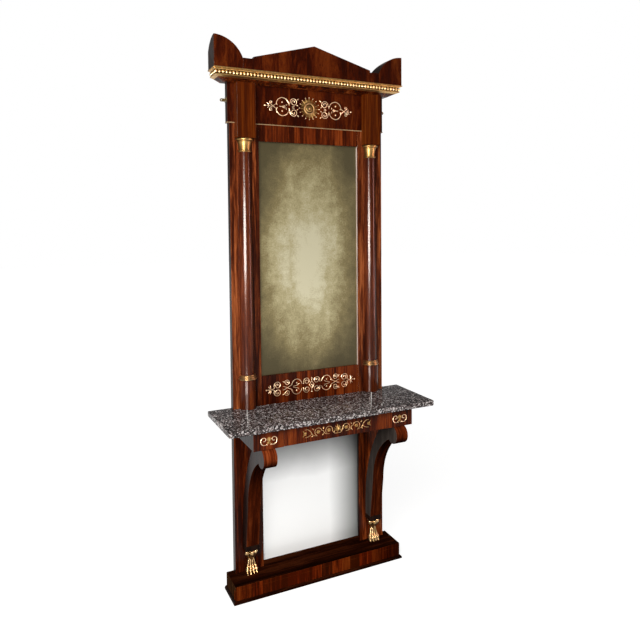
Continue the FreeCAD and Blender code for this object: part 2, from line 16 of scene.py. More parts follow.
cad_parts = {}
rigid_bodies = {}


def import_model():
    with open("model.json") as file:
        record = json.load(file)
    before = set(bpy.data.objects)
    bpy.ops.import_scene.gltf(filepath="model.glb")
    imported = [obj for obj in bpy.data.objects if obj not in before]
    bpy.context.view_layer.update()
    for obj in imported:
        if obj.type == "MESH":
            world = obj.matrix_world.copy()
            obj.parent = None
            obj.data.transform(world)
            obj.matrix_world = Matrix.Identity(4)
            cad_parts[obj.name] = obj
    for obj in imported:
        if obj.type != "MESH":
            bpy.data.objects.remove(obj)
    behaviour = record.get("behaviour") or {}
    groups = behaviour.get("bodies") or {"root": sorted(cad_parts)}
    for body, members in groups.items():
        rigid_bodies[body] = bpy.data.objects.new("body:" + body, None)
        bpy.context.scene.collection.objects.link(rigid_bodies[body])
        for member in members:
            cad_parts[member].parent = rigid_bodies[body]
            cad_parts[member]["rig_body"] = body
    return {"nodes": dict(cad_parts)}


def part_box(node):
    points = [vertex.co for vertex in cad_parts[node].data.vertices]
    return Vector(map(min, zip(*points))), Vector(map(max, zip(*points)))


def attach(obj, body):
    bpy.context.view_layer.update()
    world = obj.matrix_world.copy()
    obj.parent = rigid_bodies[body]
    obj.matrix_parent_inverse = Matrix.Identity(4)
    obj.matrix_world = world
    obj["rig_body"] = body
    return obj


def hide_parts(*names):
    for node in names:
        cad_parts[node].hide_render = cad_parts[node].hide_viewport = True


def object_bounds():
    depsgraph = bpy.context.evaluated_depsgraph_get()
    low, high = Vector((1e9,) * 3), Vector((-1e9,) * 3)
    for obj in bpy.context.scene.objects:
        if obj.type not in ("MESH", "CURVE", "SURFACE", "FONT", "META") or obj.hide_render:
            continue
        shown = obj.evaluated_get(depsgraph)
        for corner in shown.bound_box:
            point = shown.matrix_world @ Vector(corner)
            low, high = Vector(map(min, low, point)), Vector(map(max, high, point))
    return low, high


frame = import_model()
nodes = frame["nodes"]
scene = bpy.context.scene
solid_box = [list(corner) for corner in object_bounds()]

# %% [markdown]
# ## Camera
#
# The mirror is seen from its left, from the height of a standing person's eyes. A camera can be turned
# by hand until the picture looks right, but here its place was worked out from the known corners of the
# piece, so it is written as a place and three turns. The camera looks nearly level, which keeps upright
# lines nearly upright, and a small shift moves the whole mirror into frame.

# %% Place the camera
eye = Vector((-1.21656, -2.51949, 1.69596))
yaw, pitch, tilt = 0.4453926, -0.0445386, -0.0081035
ahead = Vector((math.sin(yaw) * math.cos(pitch), math.cos(yaw) * math.cos(pitch), math.sin(pitch)))
level_right = Vector((math.cos(yaw), -math.sin(yaw), 0.0))
level_up = level_right.cross(ahead)
right = level_right * math.cos(tilt) + level_up * math.sin(tilt)
up = level_up * math.cos(tilt) - level_right * math.sin(tilt)
camera = bpy.data.objects.new("viewing_camera", bpy.data.cameras.new("viewing_camera"))
scene.collection.objects.link(camera)
camera.matrix_world = Matrix.Translation(eye) @ Matrix((right, up, -ahead)).transposed().to_4x4()
camera.data.sensor_width = 36.0
camera.data.lens = 33.99
camera.data.shift_y = -0.1062
camera.data.clip_end = 60.0
scene.camera = camera
scene.view_settings.view_transform = "Standard"
low, high = (Vector(corner) for corner in solid_box)
print("camera", round((eye - (low + high) / 2).length, 2), "m from the middle of the mirror")

# %% [markdown]
# ## Short words for nodes
#
# Every finish below is a node tree. Writing each node and link out in full would fill pages, so a few
# helpers come first. `add` makes a node and fills or links its inputs: an input that gets a socket is
# linked, and one that gets a number or a colour keeps it. The others are the steps that nearly every
# finish needs, such as `ramp`, which turns a number into a colour, `blend`, which mixes two colours, and
# `noise`.

# %% Define the node helpers
def add(tree, kind, inputs=None, **settings):
    """One node, with its settings made and its inputs filled or linked."""
    node = tree.nodes.new(kind)
    for key, value in settings.items():
        setattr(node, key, value)
    for key, value in (inputs or {}).items():
        if isinstance(value, bpy.types.NodeSocket):
            tree.links.new(value, node.inputs[key])
        else:
            node.inputs[key].default_value = value
    return node


def made(tree, kind, inputs=None, **settings):
    """The first output of a new node."""
    return add(tree, kind, inputs, **settings).outputs[0]


def ramp(tree, share, *stops):
    """A colour for each share from 0 to 1, through stops of (place, colour)."""
    node = add(tree, "ShaderNodeValToRGB", {"Fac": share})
    marks = node.color_ramp.elements
    marks.remove(marks[-1])
    marks[0].position, marks[0].color = stops[0][0], (*stops[0][1], 1.0)
    for place, colour in stops[1:]:
        marks.new(place).color = (*colour, 1.0)
    return node.outputs["Color"]


def blend(tree, share, first, second, way="MIX"):
    """Two colours mixed by a share."""
    inputs = {0: share, 6: first, 7: second}
    return add(tree, "ShaderNodeMix", inputs, data_type="RGBA", blend_type=way).outputs[2]


def sums(tree, way, first, second=0.0, third=0.0):
    """One step of arithmetic on numbers."""
    return made(tree, "ShaderNodeMath", {0: first, 1: second, 2: third}, operation=way)


def vector_sums(tree, way, first, second, third=(0.0, 0.0, 0.0)):
    """One step of arithmetic on places or colours, axis by axis."""
    return made(tree, "ShaderNodeVectorMath", {0: first, 1: second, 2: third}, operation=way)


def scaled(tree, colour, share):
    """A colour made darker or lighter by a share."""
    return made(tree, "ShaderNodeVectorMath", {0: colour, "Scale": share}, operation="SCALE")


def axes(tree, vector):
    """The X, Y and Z of a vector, each as a number."""
    return add(tree, "ShaderNodeSeparateXYZ", {"Vector": vector}).outputs


def spread(tree, value, low, high, to_low=0.0, to_high=1.0):
    """A number stretched from one span to another, and kept inside it."""
    inputs = {"Value": value, "From Min": low, "From Max": high, "To Min": to_low, "To Max": to_high}
    return add(tree, "ShaderNodeMapRange", inputs).outputs["Result"]


def noise(tree, place, stretch, detail=3.0, roughness=0.55, distortion=0.0):
    """Noise on coordinates stretched by one amount, or by a different amount along each axis."""
    along = stretch if isinstance(stretch, tuple) else (stretch, stretch, stretch)
    inputs = {"Vector": vector_sums(tree, "MULTIPLY", place, along), "Scale": 1.0, "Detail": detail,
              "Roughness": roughness, "Distortion": distortion}
    return add(tree, "ShaderNodeTexNoise", inputs).outputs["Fac"]


def finer(grain, times):
    """A grain with its stretch along each axis multiplied, so that its marks get smaller."""
    return tuple(stretch * times for stretch in grain)


def toned(colour, times):
    """A colour made lighter or darker, with its alpha."""
    return (*(min(1.0, channel * times) for channel in colour), 1.0)


def worn_edges(tree):
    """1 on the softened edges of a board, and 0 elsewhere."""
    return add(tree, "ShaderNodeAttribute", attribute_name="worn_edge").outputs["Fac"]


def new_finish(name):
    """An empty node material, its tree, and the place of each point on the piece."""
    material = bpy.data.materials.new(name)
    material.use_nodes = True
    tree = material.node_tree
    tree.nodes.clear()
    return material, tree, add(tree, "ShaderNodeTexCoord").outputs["Object"]


def polish(tree, colour, roughness, height, bump_strength, bump_depth, **constants):
    """The surface shader at the end of a finish, with its bump."""
    bump = {"Strength": bump_strength, "Distance": bump_depth, "Height": height}
    inputs = {"Base Color": colour, "Roughness": roughness, "Normal": made(tree, "ShaderNodeBump", bump)}
    inputs.update({key.replace("_", " "): value for key, value in constants.items()})
    shader = add(tree, "ShaderNodeBsdfPrincipled", inputs)
    add(tree, "ShaderNodeOutputMaterial", {"Surface": shader.outputs["BSDF"]})


print("node helpers are ready")

# %% [markdown]
# ## Floor and light
#
# The mirror stands on a plain white ground with hardly a shadow. A white ground could be made by
# flooding it with light, but that would bleach the wood. So the floor glows white only for rays that
# come from the camera or by way of a reflection, and the surroundings do so only for the camera and are
# dim for everything else. The wood itself is lit by one broad soft lamp on the left, and a small one
# makes up for the shade of the console on the lower plate. Tall narrow lamps only show in polished
# surfaces: two for the wood, the stone and the gilding, and four that draw the upright lines of light on
# the columns.

# %% Make the floor, the surroundings and the lamps
floor_half = 25.0
floor_corners = [(x * floor_half, y * floor_half, 0.0) for x, y in ((-1, -1), (1, -1), (1, 1), (-1, 1))]
floor_mesh = bpy.data.meshes.new("studio_floor")
floor_mesh.from_pydata(floor_corners, [], [(0, 1, 2, 3)])
floor = bpy.data.objects.new("studio_floor", floor_mesh)
scene.collection.objects.link(floor)
floor_paint, tree, place = new_finish("floor_paint")
away = add(tree, "ShaderNodeVectorMath", {0: place}, operation="LENGTH").outputs["Value"]
level = spread(tree, away, 1.0, 5.0, 0.88, 1.0)
paths = add(tree, "ShaderNodeLightPath").outputs
seen = sums(tree, "MAXIMUM", paths["Is Camera Ray"], paths["Is Glossy Ray"])
seen = sums(tree, "MAXIMUM", seen, paths["Is Transmission Ray"])
strength = sums(tree, "MULTIPLY", seen, level)
glow = made(tree, "ShaderNodeEmission", {"Color": (1, 1, 1, 1), "Strength": strength})
matt = made(tree, "ShaderNodeBsdfDiffuse", {"Color": (0.30, 0.30, 0.30, 1)})
both = made(tree, "ShaderNodeAddShader", {0: glow, 1: matt})
add(tree, "ShaderNodeOutputMaterial", {"Surface": both})
floor_mesh.materials.append(floor_paint)

scene.world = bpy.data.worlds.new("studio")
scene.world.use_nodes = True
tree = scene.world.node_tree
tree.nodes.clear()
direction = add(tree, "ShaderNodeTexCoord").outputs["Generated"]
toward = add(tree, "ShaderNodeVectorMath", {0: direction, 1: (-0.30, 0.95, 0.0)}, operation="DOT_PRODUCT")
dim = spread(tree, toward.outputs["Value"], 0.05, 0.75, 0.18, 0.28)
paths = add(tree, "ShaderNodeLightPath").outputs
seen = sums(tree, "MAXIMUM", paths["Is Camera Ray"], paths["Is Transmission Ray"])
strength = sums(tree, "MAXIMUM", seen, dim)
backdrop = made(tree, "ShaderNodeBackground", {"Color": (1, 1, 1, 1), "Strength": strength})
add(tree, "ShaderNodeOutputWorld", {"Surface": backdrop})


def lamp(name, place, target, size, watts, colour=(1.0, 0.96, 0.9), lights_matt=True, shows_in_polish=True):
    """A flat lamp that faces a target; it can leave out matt colour or reflections, and no camera sees it."""
    light = bpy.data.lights.new(name, "AREA")
    light.shape = "RECTANGLE"
    light.size, light.size_y = size
    light.energy, light.color = watts, colour
    thing = bpy.data.objects.new(name, light)
    scene.collection.objects.link(thing)
    thing.location = place
    thing.rotation_euler = (Vector(target) - Vector(place)).to_track_quat("-Z", "Y").to_euler()
    thing.visible_camera = False
    thing.visible_diffuse, thing.visible_glossy = lights_matt, shows_in_polish
    return thing


aim_y = 0.1


def sheen_lamp(name, place, aim_x, size, watts, **colour):
    """A lamp that faces the frame level and only shows in polished surfaces."""
    return lamp(name, place, (aim_x, aim_y, place[2]), size, watts, lights_matt=False, **colour)


strip_lamps = [
    sheen_lamp("left_strip_lamp", (-1.45, -2.00, 1.5), -0.1, (0.30, 2.9), 165),
    sheen_lamp("right_strip_lamp", (1.90, -0.85, 1.5), 0.0, (0.16, 2.9), 30, colour=(1.0, 0.60, 0.55)),
]
column_lamps = [
    sheen_lamp("column_lamp", (-1.45, -2.00, 1.72), -0.1, (0.42, 1.25), 95),
    sheen_lamp("column_band_lamp", (-1.35, -2.05, 1.63), -0.1, (1.75, 0.66), 320),
    sheen_lamp("pedestal_lamp", (-1.45, -2.00, 0.18), -0.1, (1.20, 0.32), 95, colour=(1.0, 0.86, 0.80)),
    sheen_lamp("column_rim_lamp", (1.90, -0.85, 1.6), 0.0, (0.30, 1.4), 45, colour=(1.0, 0.48, 0.44)),
]
plate_lamp = lamp("plate_lamp", (-0.30, -1.90, 0.60), (0.0, 0.14, 0.45), (1.2, 0.8), 14, (1, 1, 1),
                  shows_in_polish=False)
lamp("soft_lamp", (-2.2, -2.5, 2.7), (-0.1, aim_y, 1.3), (2.2, 2.2), 172, shows_in_polish=False)
print("floor, surroundings and", len(bpy.data.lights), "lamps are in place")

# %% [markdown]
# ## Rosewood
#
# The show wood is rosewood veneer: near-black streaks run up a red-brown ground, and where the veneer is
# laid in strips each strip has a tone of its own. A picture of veneer would be easy, but it would
# stretch and repeat, so the streaks are noise that is drawn out along the grain. Each strip moves the
# noise by a random amount, so the grain breaks at every joint. Wear lightens the edges. Light and shade
# are painted in too: a painted highlight on the tops of the leg rolls, and painted shade on the faces of
# the legs that look down and towards the right end of the band on the plinth.

# %% Make the rosewood finishes
def strips(tree, place, width):
    """Veneer strips: the random values of each strip, and a place for the grain that jumps at each joint."""
    parts = axes(tree, place)
    along = sums(tree, "ADD", parts["X"], parts["Y"])
    uneven = noise(tree, place, (9.0, 9.0, 0.0), detail=1.0)
    along = sums(tree, "MULTIPLY_ADD", uneven, width * 1.6, along)
    number = sums(tree, "FLOOR", sums(tree, "MULTIPLY", along, 1.0 / width))
    chance = add(tree, "ShaderNodeTexWhiteNoise", {"W": number}, noise_dimensions="1D").outputs
    jump = vector_sums(tree, "MULTIPLY", chance["Color"], (0.9, 0.9, 3.0))
    return chance, vector_sums(tree, "ADD", place, jump)


figure_weight, broad_weight, fine_weight = 0.75, 0.45, 0.22


def rosewood(name, dark, middle, light, grain=(60.0, 60.0, 3.2), strip=0.0, strip_contrast=0.5, shine=0.20,
             uneven_shine=0.10, gloss=0.07, bump=0.10, tints=(), under=1.0, fade=()):
    """Streaked veneer with the grain along the axis of the smallest number in grain.

    under paints shade on downward faces; fade paints light or shade along an axis: (axis, from, to, first,
    last).
    """
    material, tree, place = new_finish(name)
    chance, grain_place = strips(tree, place, strip) if strip else (None, place)
    figure = noise(tree, grain_place, grain, detail=4.0, roughness=0.6, distortion=0.9)
    broad = noise(tree, grain_place, finer(grain, 0.28), detail=1.0)
    fine = noise(tree, grain_place, finer(grain, 7.0), detail=2.0)
    pores = noise(tree, grain_place, finer(grain, 22.0), detail=1.0)
    mixed = sums(tree, "MULTIPLY", figure, figure_weight)
    mixed = sums(tree, "MULTIPLY_ADD", broad, broad_weight, mixed)
    mixed = sums(tree, "MULTIPLY_ADD", fine, fine_weight, mixed)
    if strip:
        tone = sums(tree, "SUBTRACT", chance["Value"], 0.5)
        mixed = sums(tree, "MULTIPLY_ADD", tone, strip_contrast, mixed)
    share = spread(tree, mixed, 0.54, 0.90)
    brown = tuple(d * 0.6 + m * 0.4 for d, m in zip(dark, middle))
    colour = ramp(tree, share, (0.12, dark), (0.38, brown), (0.55, middle), (0.92, light))
    if tints:
        pick = add(tree, "ShaderNodeSeparateColor", {"Color": chance["Color"]}).outputs[1]
        tint = ramp(tree, pick, *((i / (len(tints) - 1), tint) for i, tint in enumerate(tints)))
        colour = blend(tree, 1.0, colour, tint, "MULTIPLY")
    # Painted light and shade along an axis: the plinth band darker to its right end, the leg rolls paler on
    # top.
    if fade:
        axis, *span = fade
        colour = scaled(tree, colour, spread(tree, axes(tree, place)[axis], *span))
    # Painted shade: faces that look down are darker.
    if under < 1.0:
        facing = add(tree, "ShaderNodeNewGeometry").outputs["Normal"]
        colour = scaled(tree, colour, spread(tree, axes(tree, facing)["Z"], -0.7, 0.0, under, 1.0))
    colour = blend(tree, spread(tree, pores, 0.60, 0.72, 0.0, 0.55), colour, toned(dark, 0.6))
    rubbing = spread(tree, noise(tree, place, 30.0), 0.35, 0.7, 0.05, 0.5)
    colour = blend(tree, sums(tree, "MULTIPLY", worn_edges(tree), rubbing), colour, toned(light, 1.3))
    roughness = spread(tree, figure, 0.3, 0.7, shine + uneven_shine, shine)
    polish(tree, colour, roughness, fine, bump, 0.0008, Specular_IOR_Level=gloss)
    return material


frame_rosewood = rosewood(
    "frame_rosewood", (0.022, 0.0032, 0.0010), (0.132, 0.026, 0.0066), (0.39, 0.108, 0.031))
# A lighter copy of the frame rosewood: painted light for the right lower stile and the bed mould, which stand
# in shade.
bright_rosewood = rosewood(
    "bright_rosewood", (0.030, 0.0045, 0.0012), (0.200, 0.035, 0.0070), (0.50, 0.125, 0.030))
# A darker copy of the frame rosewood: painted shade of the console top on the left lower stile.
painted_shade_rosewood = rosewood(
    "lower_frame_rosewood", (0.019, 0.0025, 0.0006), (0.082, 0.0115, 0.0024), (0.22, 0.047, 0.010))
french_polish = {"shine": 0.14, "uneven_shine": 0.04, "gloss": 0.12, "bump": 0.015}
column_rosewood = rosewood(
    "column_rosewood", (0.042, 0.0072, 0.0024), (0.100, 0.0195, 0.0062), (0.18, 0.040, 0.0120),
    **french_polish)
pedestal_rosewood = rosewood(
    "pedestal_rosewood", (0.050, 0.0080, 0.0020), (0.110, 0.0200, 0.0045), (0.19, 0.042, 0.010),
    **french_polish)
rail_rosewood = rosewood(
    "rail_rosewood", (0.026, 0.0036, 0.0009), (0.110, 0.0160, 0.0026), (0.22, 0.041, 0.0070),
    strip=0.050, strip_contrast=0.13, tints=((0.75, 0.75, 0.8), (1.0, 1.0, 1.0), (1.3, 1.35, 1.2)))
# The plinth band is painted darker towards its right end: painted shade.
banded_rosewood = rosewood(
    "banded_rosewood", (0.028, 0.0055, 0.0013), (0.085, 0.0140, 0.0024), (0.19, 0.043, 0.0070),
    strip=0.056, strip_contrast=0.30, gloss=0.0, fade=("X", 0.12, 0.36, 1.5, 0.25),
    tints=((0.35, 0.35, 0.4), (1.7, 0.95, 0.7), (0.70, 0.62, 0.55), (2.6, 2.0, 1.2)))
wide_figure = (26.0, 26.0, 5.0)
frieze_rosewood = rosewood(
    "frieze_rosewood", (0.019, 0.0021, 0.0004), (0.052, 0.0064, 0.0009), (0.110, 0.0190, 0.0025),
    grain=wide_figure, strip=0.105, strip_contrast=0.09)
ear_rosewood = rosewood(
    "ear_rosewood", (0.022, 0.0024, 0.0004), (0.058, 0.0075, 0.0010), (0.11, 0.021, 0.003),
    grain=wide_figure)
dosseret_rosewood = rosewood(
    "dosseret_rosewood", (0.040, 0.0056, 0.0005), (0.085, 0.0135, 0.001), (0.15, 0.034, 0.003),
    grain=(44.0, 44.0, 1.6))
# The legs carry painted shade on the faces that look down and a painted highlight on the tops of the rolls.
roll_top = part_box("scroll_leg_left")[1].z
leg_rosewood = rosewood(
    "leg_rosewood", (0.030, 0.0048, 0.0014), (0.088, 0.0140, 0.0034), (0.18, 0.038, 0.0095),
    grain=(60.0, 4.5, 4.5), gloss=0.0, under=0.25,
    fade=("Z", roll_top - 0.075, roll_top - 0.055, 1.0, 1.6))
plinth_rosewood = rosewood(
    "plinth_rosewood", (0.006, 0.0013, 0.0005), (0.022, 0.0044, 0.0014), (0.050, 0.0115, 0.0036),
    grain=(3.2, 60.0, 60.0), gloss=0.0)
print("rosewood finishes:", [m.name for m in bpy.data.materials if "rosewood" in m.name])

# %% [markdown]
# ## The plainer woods
#
# The sides of the piece are stained black and polished, so what shows there is mostly the pale
# surroundings reflected. The string under the frieze is pale boxwood, and the unseen work behind is pine
# in planks. All are the same soft growth lines in other colours, so one function makes them, and the
# joints between planks are dark lines at equal steps.

# %% Make the other wood finishes
def plain_wood(name, dark, light, grain, roughness, plank=0.0, gloss=0.35):
    """Wood without veneer: soft growth lines along the grain, and joints where a plank's width is given."""
    material, tree, place = new_finish(name)
    rings = noise(tree, place, grain, detail=3.0, distortion=0.6)
    fine = noise(tree, place, finer(grain, 8.0), detail=2.0)
    share = spread(tree, sums(tree, "MULTIPLY_ADD", fine, 0.3, rings), 0.45, 0.9)
    colour = ramp(tree, share, (0.1, dark), (0.9, light))
    height = fine
    if plank:
        within = sums(tree, "FRACT", sums(tree, "MULTIPLY", axes(tree, place)["X"], 1.0 / plank))
        off_middle = sums(tree, "ABSOLUTE", sums(tree, "SUBTRACT", within, 0.5))
        joint = spread(tree, off_middle, 0.478, 0.49)
        colour = blend(tree, sums(tree, "MULTIPLY", joint, 0.75), colour, (0.02, 0.012, 0.008, 1.0))
        height = sums(tree, "SUBTRACT", fine, joint)
    colour = blend(tree, sums(tree, "MULTIPLY", worn_edges(tree), 0.3), colour, toned(light, 1.5))
    uneven = spread(tree, fine, 0.3, 0.7, roughness + 0.1, roughness)
    polish(tree, colour, uneven, height, 0.15, 0.0006, Specular_IOR_Level=gloss)
    return material


upright = (50.0, 50.0, 4.0)
ebonised = plain_wood(
    "ebonised_wood", (0.007, 0.0035, 0.0028), (0.030, 0.012, 0.008), upright, 0.26, gloss=0.10)
dark_stain = plain_wood(
    "dark_stained_wood", (0.006, 0.0026, 0.0018), (0.022, 0.0085, 0.0050), upright, 0.40, gloss=0.03)
# A greyer stain for the right leg's sides: a painted sheen of the pale surroundings they reflect.
painted_sheen_side = plain_wood(
    "faded_stained_wood", (0.026, 0.020, 0.017), (0.068, 0.056, 0.050), upright, 0.40, gloss=0.03)
brown_stain = plain_wood(
    "brown_stained_wood", (0.030, 0.012, 0.0050), (0.075, 0.032, 0.0130), upright, 0.45, gloss=0.0)
# Pale inner sides of the upper stiles: a painted highlight along the edge of the glass.
polished_edge = plain_wood(
    "polished_edge", (0.58, 0.45, 0.40), (0.80, 0.68, 0.62), upright, 0.20, gloss=0.30)
boxwood = plain_wood("pale_string", (0.20, 0.12, 0.055), (0.40, 0.27, 0.14), (6.0, 90.0, 90.0), 0.35)
pine = plain_wood(
    "aged_pine", (0.17, 0.085, 0.035), (0.40, 0.24, 0.11), (55.0, 55.0, 2.5), 0.55, plank=0.105)
drawer_pine = plain_wood("drawer_pine", (0.24, 0.13, 0.055), (0.50, 0.33, 0.16), (55.0, 2.5, 55.0), 0.5)
print("plain woods:", ebonised.name, boxwood.name, pine.name, drawer_pine.name)

# %% [markdown]
# ## The stone
#
# The top is a dark speckled granite, polished above and plainer along its sawn edges. Granite is a mass
# of crystals that meet at hard borders, so soft noise would look like cloud. Voronoi noise makes cells
# with such borders: each cell takes a random tone, in a coarse and a small size, and the cells are bent
# a little so that they don't look drawn with a ruler.

# %% Make the stone
def speckled_stone(name, lift, gloss, roughness):
    """Granite: hard grains of black, violet grey and white in two sizes; lift makes it paler."""
    material, tree, place = new_finish(name)
    warp = add(tree, "ShaderNodeTexNoise", {"Vector": place, "Scale": 110.0, "Detail": 2.0}).outputs["Color"]
    bent = vector_sums(tree, "MULTIPLY_ADD", warp, (0.005, 0.005, 0.005), place)

    def grain_tones(scale):
        cells = add(tree, "ShaderNodeTexVoronoi", {"Vector": bent, "Scale": scale}).outputs["Color"]
        return made(tree, "ShaderNodeSeparateColor", {"Color": cells})

    coarse, small = grain_tones(185.0), grain_tones(420.0)
    grains = ramp(tree, sums(tree, "ADD", coarse, lift), (0.0, (0.004, 0.004, 0.004)),
                  (0.48, (0.012, 0.009, 0.010)), (0.64, (0.085, 0.062, 0.065)), (0.82, (0.27, 0.215, 0.215)),
                  (0.97, (0.90, 0.86, 0.87)))
    dust = ramp(tree, small, (0.0, (0.008, 0.007, 0.007)), (0.55, (0.045, 0.033, 0.034)),
                (0.95, (0.40, 0.36, 0.34)))
    clouds = spread(tree, noise(tree, place, 7.0, detail=2.0), 0.3, 0.7, 0.75, 1.2)
    colour = scaled(tree, blend(tree, 0.25, grains, dust), clouds)
    uneven = spread(tree, small, 0.0, 1.0, roughness, roughness + 0.06)
    polish(tree, colour, uneven, small, 0.02, 0.0003, Specular_IOR_Level=gloss)
    return material


granite = speckled_stone("speckled_stone", -0.02, 0.02, 0.05)
granite_edge = speckled_stone("sawn_stone_edge", 0.12, 0.12, 0.30)
print("stone:", granite.name, granite_edge.name)

# %% [markdown]
# ## The metals
#
# The mounts are gilt brass, and the beads, the cornice and the paws are gilded wood. One metal finish
# serves for all, since what tells them apart is age: brown dirt stays in the hollows, which Blender
# finds by how pointed the mesh is, and on the carved wood the red ground shows through where the gold is
# rubbed.

# %% Make the metals
def gilding(name, bright, shade, hollow, roughness, rubbed=None, sink=(0.42, 0.50)):
    """Gold over metal or carved wood: brown stays in the hollows, and the ground shows where it is rubbed."""
    material, tree, place = new_finish(name)
    cloudy = noise(tree, place, 60.0, detail=4.0)
    colour = ramp(tree, cloudy, (0.32, shade), (0.62, bright))
    metal = 1.0
    if rubbed:
        patches = spread(tree, noise(tree, place, 150.0), 0.60, 0.72, 0.0, 0.7)
        colour = blend(tree, patches, colour, (*rubbed, 1.0))
        metal = sums(tree, "SUBTRACT", 1.0, patches)
    sunk = spread(tree, add(tree, "ShaderNodeNewGeometry").outputs["Pointiness"], *sink, 0.92, 0.0)
    colour = blend(tree, sunk, colour, (*hollow, 1.0))
    grit = noise(tree, place, 700.0, detail=2.0)
    uneven = spread(tree, cloudy, 0.3, 0.7, roughness + 0.12, roughness)
    polish(tree, colour, uneven, grit, 0.08, 0.0004, Metallic=metal)
    return material


gilt_brass = gilding("gilt_brass", (1.0, 0.78, 0.52), (0.88, 0.62, 0.36), (0.12, 0.055, 0.020), 0.28)
warm_brass = gilding("warm_brass", (0.58, 0.37, 0.18), (0.42, 0.245, 0.10), (0.07, 0.030, 0.010), 0.30)
old_brass = gilding("old_brass", (0.27, 0.165, 0.060), (0.170, 0.097, 0.032), (0.03, 0.012, 0.004), 0.36)
turned_brass = gilding(
    "turned_brass", (0.35, 0.21, 0.073), (0.23, 0.128, 0.040), (0.04, 0.015, 0.005), 0.30, sink=(0.36, 0.46))
dull_brass = gilding("dull_brass", (0.20, 0.14, 0.065), (0.10, 0.07, 0.03), (0.03, 0.02, 0.01), 0.42)
giltwood = gilding(
    "giltwood", (0.60, 0.38, 0.14), (0.36, 0.20, 0.062), (0.05, 0.018, 0.006), 0.30, (0.15, 0.055, 0.022))
bead_gilding = gilding("bead_gilding", (0.90, 0.68, 0.37), (0.78, 0.52, 0.23), (0.05, 0.02, 0.006), 0.24)
# Dark brown for the bead hollow of the cornice and the groove of the boss: dirt and painted shade.
hollow_gilding = gilding(
    "hollow_gilding", (0.075, 0.038, 0.012), (0.032, 0.014, 0.004), (0.012, 0.005, 0.002), 0.50)
paw_gilding = gilding(
    "paw_gilding", (0.64, 0.43, 0.22), (0.37, 0.22, 0.080), (0.022, 0.008, 0.003), 0.22,
    (0.12, 0.045, 0.018), sink=(0.445, 0.505))
screw_steel = gilding("screw_steel", (0.42, 0.41, 0.39), (0.26, 0.25, 0.24), (0.05, 0.045, 0.04), 0.38)
print("metals:", [m.name for m in bpy.data.materials if "brass" in m.name or "gilding" in m.name])

# %% [markdown]
# ## The two mirror plates
#
# Both plates are silvered glass. The upper one is bare and very old: its silvering has gone brown and
# olive towards the edges, with mottling and flecks, and the middle is still pale and soft. The lower one
# has gone milky, so it shows a soft white; its grey along the top and the right edge, and a little at its
# foot, is painted shade. A metal shader gives back what is really in front of the glass, and mixing some
# matt colour into it makes the milkiness, so the age is in the tint, the metal share and the roughness.

# %% Make the silvered plates
def aged_silvering(name, node):
    """Old silvering: pale in the middle, olive brown towards the edges, mottled and flecked."""
    low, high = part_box(node)
    middle, half = (low + high) / 2, (high - low) / 2
    material, tree, place = new_finish(name)
    parts = axes(tree, place)
    squares = []
    for axis, centre, reach in (("X", middle.x, half.x), ("Z", middle.z, half.z)):
        off_centre = sums(tree, "ABSOLUTE", sums(tree, "SUBTRACT", parts[axis], centre))
        squares.append(sums(tree, "POWER", sums(tree, "DIVIDE", off_centre, reach), 2.0))
    age = sums(tree, "MULTIPLY", sums(tree, "ADD", *squares), 1.02)
    mottle = noise(tree, place, 26.0, detail=6.0, roughness=0.65)
    cloud = noise(tree, place, (5.5, 5.5, 3.2), detail=4.0, distortion=0.6)
    speckle = noise(tree, place, 150.0, roughness=0.6)
    mottle = sums(tree, "MULTIPLY_ADD", sums(tree, "SUBTRACT", speckle, 0.5), 0.85, mottle)
    for layer, weight in ((cloud, 1.25), (mottle, 0.75)):
        age = sums(tree, "MULTIPLY_ADD", sums(tree, "SUBTRACT", layer, 0.5), weight, age)
    colour = ramp(tree, sums(tree, "MULTIPLY", age, 0.7), (0.0, (0.74, 0.69, 0.48)),
                  (0.24, (0.52, 0.455, 0.255)), (0.47, (0.29, 0.235, 0.110)), (0.70, (0.185, 0.150, 0.072)),
                  (1.0, (0.110, 0.090, 0.044)))
    flecks = spread(tree, noise(tree, place, 210.0, roughness=0.7), 0.60, 0.70)
    flecks = sums(tree, "MULTIPLY", flecks, spread(tree, age, 0.35, 0.95, 0.0, 0.85))
    colour = blend(tree, flecks, colour, (0.06, 0.045, 0.022, 1.0))
    rough = spread(tree, age, 0.1, 1.0, 0.30, 0.46)
    polish(tree, colour, rough, mottle, 0.03, 0.0005, Metallic=0.50)
    return material


